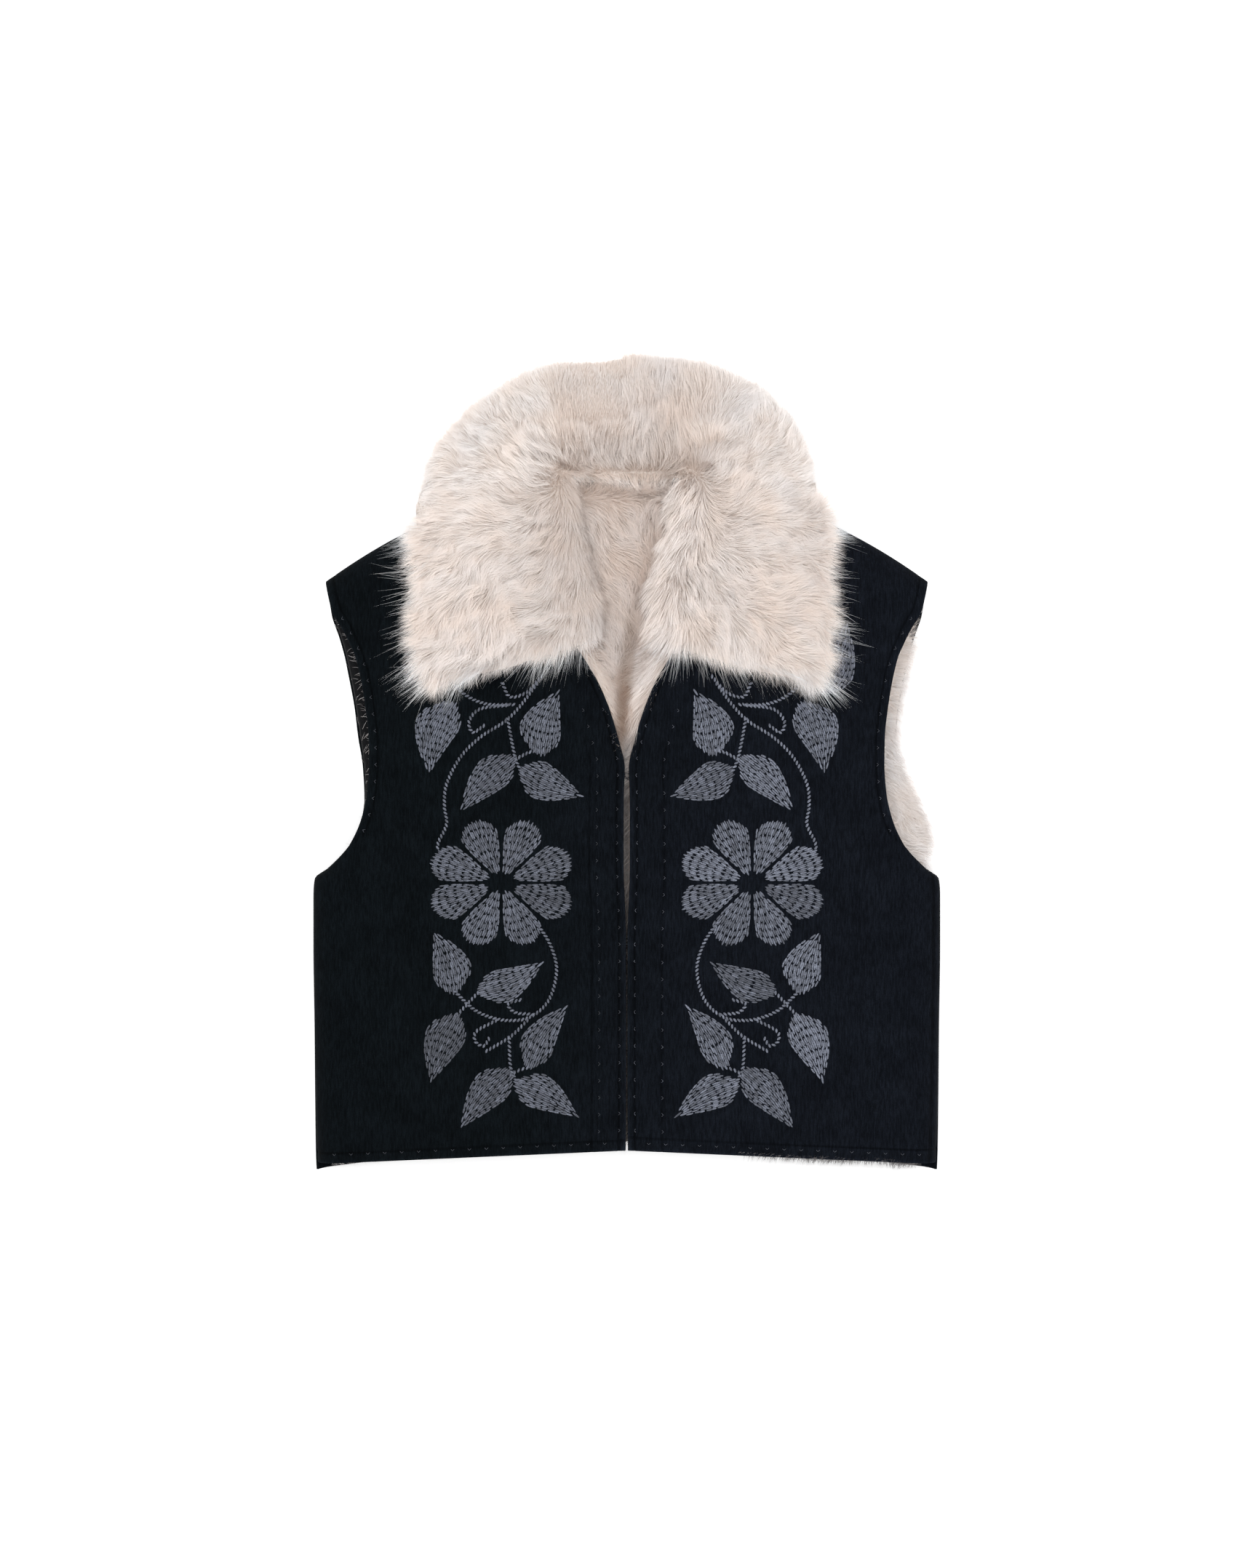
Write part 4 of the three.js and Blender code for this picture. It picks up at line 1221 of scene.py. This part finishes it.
def collar_calm(p):
    """Where the collar's hairs lie more evenly: behind the neck and along the leaves' inner edges."""
    beyond = beyond_leaf_edges(p)
    by_seam = ridge(p[:, 1], 231, 9) * (np.abs(p[:, 0]) < 56)
    return np.maximum(0.65 * smooth(1 - beyond / 20), 0.4 * smooth(1 - beyond / 55)) * (1 - by_seam)


def neck_comb(p):
    """The way the hairs of the back lining lie in the neck: down and in to a valley beside the middle."""
    x, y = p[:, 0], p[:, 1]
    valley = np.interp(y, *zip(*V_VALLEY))
    in_v = 1 - smooth((y - 95) / 40)
    sweep = mix(0.75, np.where(x > valley, 1.7, 0.5), in_v)
    dx = np.clip((valley - x) / mix(22, 8, in_v), -1, 1) * sweep
    down = unit(np.stack([dx, -np.ones_like(dx), np.zeros_like(dx)], axis=1))
    return turned_to(down, (0, 1, 0.3), smooth((y - 208) / 8))


def shading(p):
    """How the fur is shaded, all of it painted shade: darker and browner at the neck's seam, in the valley
    below it, behind the leaves' inner edges, at the bottom of the V and in the slit between the fronts, and a
    little cooler round the rim where the collar's far side lies in shadow."""
    x, y = p[:, 0], p[:, 1]
    seam = 0.1 * ridge(y, 226, 6) * smooth(1.6 - np.abs(x) / 45)
    valley = 0.16 * ridge(x, NECK_VALLEY, 10) * between(y, 70, 212, 30, 50)
    slit = ridge(x, 1, 9) * smooth((50 - y) / 35)
    stand = 0.085 * smooth(1 - beyond_leaf_edges(p) / 7) * smooth((y - 228) / 30)
    bottom = 0.5 * smooth((98 - y) / 24) * smooth((14 - np.abs(x + 3)) / 10) * (1 - slit)
    # Painted shade in the recesses, not the fur's own colour.
    dark = seam + valley + stand + bottom
    rim = smooth((np.hypot(x, y - 180) - 105) / 25) * smooth((y - 200) / 30)
    shade = 1 - dark[:, None] * (0.75, 0.95, 1.08) + rim[:, None] * (-0.015, 0.0, 0.012)
    return shade - slit[:, None] * (0.66, 0.64, 0.61)


def by_side_edge(rows, p):
    """1 at a panel's side edges and for some way in from them, and 0 further in."""
    side_x = np.interp(p[:, 1], [r.side_y for r in rows], [r.side_x for r in rows])
    return smooth((np.abs(p[:, 0]) - side_x + HOLE_REACH) / 8)


def fringe(p, n, runs, low):
    """Where hairs hang out below a hem: in these runs of X, on the edge that looks down the garment."""
    inside = sum(between(p[:, 0], a, b, 4, 4) for a, b in runs)
    return np.clip(inside, 0, 1) * smooth((low - p[:, 1]) / 8) * smooth(0.6 - n[:, 1])


# ---------------------------------------------------------------- pieces


class Kept:
    """Surfaces, trees and materials that several pieces share."""

    surfaces = {}
    trees = {}
    materials = {}


def kept(store, key, make):
    if key not in store:
        store[key] = make()
    return store[key]


def cloth():
    settings = bpy.context.scene.vest_cloth
    return kept(Kept.materials, "cloth", lambda: cloth_material("Felted cloth", settings))


def fur(name, **tints):
    return kept(Kept.materials, name, lambda: fur_material(name, bpy.context.scene.vest_fur, **tints))


def grow(name, base, flow, where, material, seed, calm=0.0, shortened=1.0, density=1.0, length=1.0,
         thickness=1.0, lift=0.72, lean=0.16, wild=1.0, lock=1.0, steps=3):
    """Grows hairs on a surface: flow is the way they lie, and where is how densely they stand. Density,
    length, thickness and lock are shares of the settings."""
    give_attribute(base.data, "fur_calm", calm + 0 * where)
    give_attribute(base.data, "flow", flow, "FLOAT_VECTOR")
    give_attribute(base.data, "fur_density", where)
    give_attribute(base.data, "fur_length", shortened + 0 * where)
    sizes = bpy.context.scene.vest_fur
    values = {
        "Density": sizes.density * density,
        "Seed": seed,
        "Length": sizes.length * length,
        "Thickness": sizes.thickness * thickness,
        "Lift": lift,
        "Lock": 1 / (sizes.lock * lock),
        "Lean": lean,
        "Wildness": wild,
        "Steps": steps,
        "Material": material,
    }
    obj = kept(Kept.trees, "fur", fur_tree).result_on(base, name, values)
    for made in (base, obj):
        without_helpers(made, HELPERS)
    return obj


def fur_base(obj, p, bare):
    """Paints a skin for its under-fur: its painted shade from shading(), and where it is bare."""
    give_attribute(obj.data, "bare", bare)
    give_attribute(obj.data, "shade", shading(p), "FLOAT_VECTOR")
    pile = kept(Kept.materials, "pile", lambda: pile_material("Under-fur", bpy.context.scene.vest_fur))
    return shaded(obj, pile)


def finish_fur(base, pieces, slot, node_name, **cut):
    finish_piece(base, slot, node_name)
    for piece in pieces:
        finish_piece(piece, slot)


class VEST_OT_fronts(bpy.types.Operator):
    """Cuts the two fronts of felted cloth, with their turned edges and sewn lines"""

    bl_idname = "vest.fronts"
    bl_label = "Fronts"

    def execute(self, context):
        for side, name in ((-1, "right"), (1, "left")):
            obj = front_piece(side, cloth(), context.scene.vest_cloth)
            Kept.surfaces[side] = surface_of(obj)
            finish_piece(obj, "cloth", f"front_{name}")
        return {"FINISHED"}


class VEST_OT_back(bpy.types.Operator):
    """Cuts the back of felted cloth, which the vest lies on"""

    bl_idname = "vest.back"
    bl_label = "Back"

    def execute(self, context):
        obj = finish_piece(back_piece(cloth()), "cloth", "back")
        return {"FINISHED"}


class VEST_OT_linings(bpy.types.Operator):
    """Lines the back and the fronts with fur, which shows in the neck, at the armholes and at the hem"""

    bl_idname = "vest.linings"
    bl_label = "Linings"

    def execute(self, context):
        self.back_lining()
        for side, name in ((-1, "right"), (1, "left")):
            self.front_lining(side, name)
        return {"FINISHED"}

    def back_lining(self):
        base = copy_of_node("back_lining", "back_fur_base")
        p, n = vertices_in_mm(base.data), normals_of(base.data)
        x, y = p[:, 0], p[:, 1]
        facing_up = smooth(n[:, 2] * 3 - 0.3)
        by_edge = by_side_edge(BACK_ROWS, p)
        open_side = between(y, -92, 142, 14, 10)
        right_hole = by_edge * open_side * (x < 0)
        left_hole = by_edge * open_side * (x > 0) * smooth((106 - y) / 8)
        above_left_hole = by_edge * smooth((y - 98) / 8) * (x > 0)
        by_hem = smooth((-288 - y) / 6)
        fur_base(base, p, np.clip(right_hole + by_hem + above_left_hole, 0, 1))
        up = smooth(n[:, 2] * 3 + 1.2 * (y > 205))
        denser = 0.8 + 1.2 * smooth((y - 206) / 8)
        in_neck = up * smooth((62 - np.abs(x)) / 8) * smooth((y + 20) / 15) * denser
        hem = fringe(p, n, BACK_FRINGE, -285)
        neck = fur("Neck fur", tip_tint=(0.96, 0.93, 0.91), root_tint=(0.88, 0.83, 0.8), dark=0.03)
        dark = fur("Armhole fur", tip_tint=(0.7, 0.72, 0.75), root_tint=(0.12, 0.12, 0.13))
        pale = fur("Side fur", tip_tint=(0.94, 0.97, 1.0), root_tint=(0.9, 0.94, 0.97))
        bulge = left_hole * smooth(n[:, 2] * 2 + 1.2)
        pieces = [
            grow("neck_fur", base, neck_comb(p), in_neck, neck, 11,
                 density=1.4, length=0.8, lift=0.62, wild=0.75),
            grow("armhole_fur_right", base, one_way(p, (0.9, 0.5, 0)), right_hole * facing_up, dark, 12,
                 density=0.045, length=0.5, thickness=1.3, lift=0.35, wild=0.7),
            grow("armhole_fur_left", base, one_way(p, (0.8, -0.6, 0)), bulge, pale, 13,
                 length=0.6, lift=0.5),
            grow("hem_fur", base, one_way(p, (0.25, -1, 0)), hem * facing_up, dark, 14,
                 density=0.3, length=0.42, thickness=0.9, lift=0.25, wild=0.9),
        ]
        finish_fur(base, pieces, "lining_fur", "back_lining", flat=(0.52, 0.55), held="laid", area=0.25,
                   rests_on=["felt_back"])

    def front_lining(self, side, name):
        node_name = f"front_lining_{name}"
        base = copy_of_node(node_name, f"front_fur_base_{name}")
        p, n = vertices_in_mm(base.data), normals_of(base.data)
        x, y = np.abs(p[:, 0]), p[:, 1]
        by_edge = by_side_edge(FRONT_ROWS, p)
        right_hole = by_edge * between(y, -92, 128, 12, 10) * (side < 0)
        fur_base(base, p, np.maximum(smooth((-292 - y) / 8), right_hole))
        edge_x = np.interp(y, [r.edge_y for r in FRONT_ROWS], [r.edge_x for r in FRONT_ROWS])
        strip = smooth((edge_x - x) / 3) * smooth((y - 2) / 16)
        slit = smooth((6 - x) / 3) * smooth(n[:, 2] * 3) * smooth((30 - y) / 10)
        in_hole = by_edge * between(y, -90, 128, 12, 10) * smooth(0.6 - n[:, 2])
        pale = fur("Facing fur", root_tint=(0.66, 0.57, 0.5))
        if side < 0:
            flow, hole_fur, hole_density = (0.3, -1, 0), fur("Armhole fur"), 0.025
            looks = {"density": 1.2, "length": 0.55, "lift": 0.3, "wild": 0.4, "thickness": 1.2}
        else:
            flow, hole_fur, hole_density = (-0.85, -0.6, 0), pale, 0.5
            looks = {"density": 0.9, "length": 0.85, "lift": 0.32, "wild": 0.4, "thickness": 1.4}
            looks.update(lock=0.6, lean=0.3)
        facing = np.clip(strip + slit * 0.5, 0, 1)
        pieces = [
            grow(f"facing_fur_{name}", base, one_way(p, flow), facing, pale, 20 + side, **looks),
            grow(f"armhole_facing_{name}", base, one_way(p, (side, 0.3, -0.6)), in_hole, hole_fur, 27 + side,
                 density=hole_density, length=0.36, thickness=1.4, lift=0.5, wild=0.8),
        ]
        if side > 0:
            dark = fur("Hem fringe", tip_tint=(0.26, 0.26, 0.27), root_tint=(0.02, 0.02, 0.02))
            hem = fringe(p, n, FRONT_FRINGE, -302)
            looks = {"density": 1.3, "length": 0.54, "lift": 0.1, "wild": 0.35, "thickness": 1.7}
            looks.update(lock=0.5, lean=0.5)
            pieces.append(grow("hem_fringe_left", base, one_way(p, (-0.15, -1, 0)), hem, dark, 25, **looks))
        finish_fur(base, pieces, "lining_fur", node_name, flat=(0.265, 0.55), held="laid", area=0.118,
                   rests_on=["back_fur_base"])


class VEST_OT_under_collar(bpy.types.Operator):
    """Cuts the cloth side of the collar"""

    bl_idname = "vest.under_collar"
    bl_label = "Under collar"

    def execute(self, context):
        obj = shaded(copy_of_node("under_collar", "felt_under_collar"), cloth())
        finish_piece(obj, "cloth", "under_collar")
        return {"FINISHED"}


# How far the collar's skin lies inside its solid, in millimetres, to leave room for the pile.
SKIN_DROP = 6.0
LEAF_INSET = 17.0
STAND_INSET = 2.0


class VEST_OT_collar(bpy.types.Operator):
    """Makes the wide fur collar: a padded skin, dense pile in three pieces and long guard hairs"""

    bl_idname = "vest.collar"
    bl_label = "Collar"

    def execute(self, context):
        base = copy_of_node("collar", "collar_skin", levels=2)
        p, n = vertices_in_mm(base.data), normals_of(base.data)
        outward = smooth(((p[:, :2] - NECK) * unit(n[:, :2])).sum(axis=1) / 20)
        inset = mix(LEAF_INSET, STAND_INSET, smooth((p[:, 1] - 205) / 40))
        p[:, :2] -= n[:, :2] * (inset * outward)[:, None]
        p[:, 2] -= np.clip(n[:, 2], 0, 1) * SKIN_DROP
        base.data.vertices.foreach_set("co", (p * MM).ravel())
        base.data.update()
        fur_base(base, p, 0 * p[:, 0])
        x, y = p[:, 0], p[:, 1]
        looking_up = 1 - smooth(-n[:, 2] * 4)
        top = smooth(n[:, 2] * 3 + 1.6) * looking_up
        on_leaves = smooth((LEAF_TOP - y + 3) / 6)
        on_stand = smooth((y - LEAF_TOP + 3) / 6)
        masks = {"back": on_stand, "right": on_leaves * (x < 0), "left": on_leaves * (x > 0)}
        by_neck = smooth(1 - (np.abs(x) - 30) / 40) * smooth((y - 90) / 20)
        shortened = 1 - 0.4 * smooth((y - 200) / 40) * outward - 0.35 * by_neck * (x < 0)
        looks = {"calm": collar_calm(p), "shortened": shortened, "density": 1.65}
        pieces = []
        for seed, (name, mask) in enumerate(masks.items(), 31):
            name = f"collar_fur_{name}"
            pieces.append(grow(name, base, collar_comb(p), mask * top, fur("Collar fur"), seed, **looks))
        rim = smooth((np.hypot(n[:, 0], n[:, 1]) - 0.35) * 3) * outward * looking_up * smooth((215 - y) / 20)
        sideways = smooth((np.abs(x) - 125) / 20)[:, None] * (0, 1, 0)
        flow = unit(collar_comb(p, droop=0.1) * (1 - 0.6 * sideways))
        looks = {"density": 0.9, "length": 1.45, "lift": 0.2, "wild": 0.4, "thickness": 0.72}
        looks.update(lock=1.3, lean=0.8, steps=4)
        bright = fur("Guard hairs", tip_tint=(1.1, 1.2, 1.28))
        pieces.append(grow("guard_hairs", base, flow, rim, bright, 41, **looks))
        finish_fur(base, pieces, "collar_fur", "collar", flat=(0.7, 0.2), held="folded", area=0.08,
                   rests_on=["felt_under_collar"])
        return {"FINISHED"}


class VEST_OT_embroidery(bpy.types.Operator):
    """Embroiders a flower, leaves, rope-stitched stems and curls on each front"""

    bl_idname = "vest.embroidery"
    bl_label = "Embroidery"

    def execute(self, context):
        thread = context.scene.vest_thread
        material = kept(Kept.materials, "thread", lambda: thread_material(thread))
        tree = kept(Kept.trees, "Stitches", stitch_tree)
        for side, name in ((-1, "right"), (1, "left")):
            stitches = Stitches(Kept.surfaces[side])
            embroider(stitches, side, thread, 5 + side)
            stitch_edges(stitches, side, 15 + side)
            finish_piece(stitches.made(f"embroidery_{name}", tree, material), "cloth")
        return {"FINISHED"}


class VEST_OT_hooks(bpy.types.Operator):
    """Gives the hooks and eyes their enamelled finish"""

    bl_idname = "vest.hooks"
    bl_label = "Hooks and eyes"

    def execute(self, context):
        material = wire_material()
        for name in ("hook_1", "hook_2", "eye_1", "eye_2"):
            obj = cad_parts[name]
            obj.data.materials.clear()
            obj.data.materials.append(material)
        return {"FINISHED"}


VIEW_CENTRE = (0.6, -15.7)
MEAN_HEIGHT = 31.0
SENSOR = 36.0
FLOOR_DROP = 0.6
FLOOR_GLOW = 0.35
WORLD_LIGHT = 0.67
WHITE = (1, 1, 1, 1)
Lamp = namedtuple("Lamp", "name place share size")
LAMPS = [
    Lamp("Key", (-0.9, 1.1, 2.3), 1.0, 1.8),
    Lamp("Fill", (1.3, 0.2, 2.1), 0.55, 1.8),
    Lamp("Front", (0.1, -1.6, 1.9), 0.4, 1.6),
]


class VEST_OT_stage(bpy.types.Operator):
    """Sets a pale floor, soft lights and a camera straight above"""

    bl_idname = "vest.stage"
    bl_label = "Stage"

    def execute(self, context):
        stage = context.scene.vest_stage
        self.floor(stage.floor)
        for lamp in LAMPS:
            self.light(lamp, stage.light * lamp.share)
        world = bpy.data.worlds.new("Studio")
        world.use_nodes = True
        background = world.node_tree.nodes["Background"]
        background.inputs["Color"].default_value = WHITE
        background.inputs["Strength"].default_value = WORLD_LIGHT
        context.scene.world = world
        context.scene.view_settings.view_transform = "Standard"
        data = bpy.data.cameras.new("Camera")
        data.sensor_width = SENSOR
        data.lens = SENSOR * stage.distance / stage.frame_height
        camera = bpy.data.objects.new("Camera", data)
        camera.location = (VIEW_CENTRE[0] * MM, VIEW_CENTRE[1] * MM, stage.distance + MEAN_HEIGHT * MM)
        context.scene.collection.objects.link(camera)
        context.scene.camera = camera
        return {"FINISHED"}

    def floor(self, colour):
        bpy.ops.mesh.primitive_plane_add(size=8, location=(0, 0, -FLOOR_DROP * MM))
        floor = bpy.context.object
        floor.name = "floor"
        glow = {"Emission_Color": WHITE, "Emission_Strength": FLOOR_GLOW}
        material, tree, shader = new_material("Pale floor", 0.9, **glow)
        grain = noise(tree, object_place(tree), 40.0, 2.0).between(0, 1, 0.995, 1.005)
        set_colour(tree, shader, blend_colours(tree, grain, tuple(c * 0.99 for c in colour), tuple(colour)))
        floor.data.materials.append(material)

    def light(self, lamp, power):
        data = bpy.data.lights.new(lamp.name, "AREA")
        data.energy = power
        data.size = lamp.size
        made = bpy.data.objects.new(lamp.name, data)
        made.location = lamp.place
        made.rotation_euler = (-Vector(lamp.place)).to_track_quat("-Z", "Y").to_euler()
        bpy.context.scene.collection.objects.link(made)


OPERATORS = (VEST_OT_fronts, VEST_OT_back, VEST_OT_linings, VEST_OT_under_collar, VEST_OT_collar,
             VEST_OT_embroidery, VEST_OT_hooks, VEST_OT_stage)
SETTINGS = {"vest_cloth": VestClothSettings, "vest_fur": VestFurSettings, "vest_thread": VestThreadSettings,
            "vest_stage": VestStageSettings}


class VEST_PT_panel(bpy.types.Panel):
    """Lists the pieces of the vest and their settings"""

    bl_idname = "VEST_PT_panel"
    bl_label = "Fur Vest"
    bl_space_type = "VIEW_3D"
    bl_region_type = "UI"
    bl_category = "Fur Vest"

    def draw(self, context):
        layout = self.layout
        for name, group in SETTINGS.items():
            box = layout.box()
            box.label(text=group.__doc__)
            for key in group.__annotations__:
                box.prop(getattr(context.scene, name), key)
        for operator in OPERATORS:
            layout.operator(operator.bl_idname)


def register():
    for group in (*SETTINGS.values(), *OPERATORS, VEST_PT_panel):
        bpy.utils.register_class(group)
    for name, group in SETTINGS.items():
        setattr(bpy.types.Scene, name, bpy.props.PointerProperty(type=group))


def unregister():
    for name in SETTINGS:
        delattr(bpy.types.Scene, name)
    for group in (VEST_PT_panel, *reversed(OPERATORS), *SETTINGS.values()):
        bpy.utils.unregister_class(group)


def main():
    register()
    for operator in OPERATORS:
        group, name = operator.bl_idname.split(".")
        getattr(getattr(bpy.ops, group), name)()


if __name__ == "__main__":
    main()
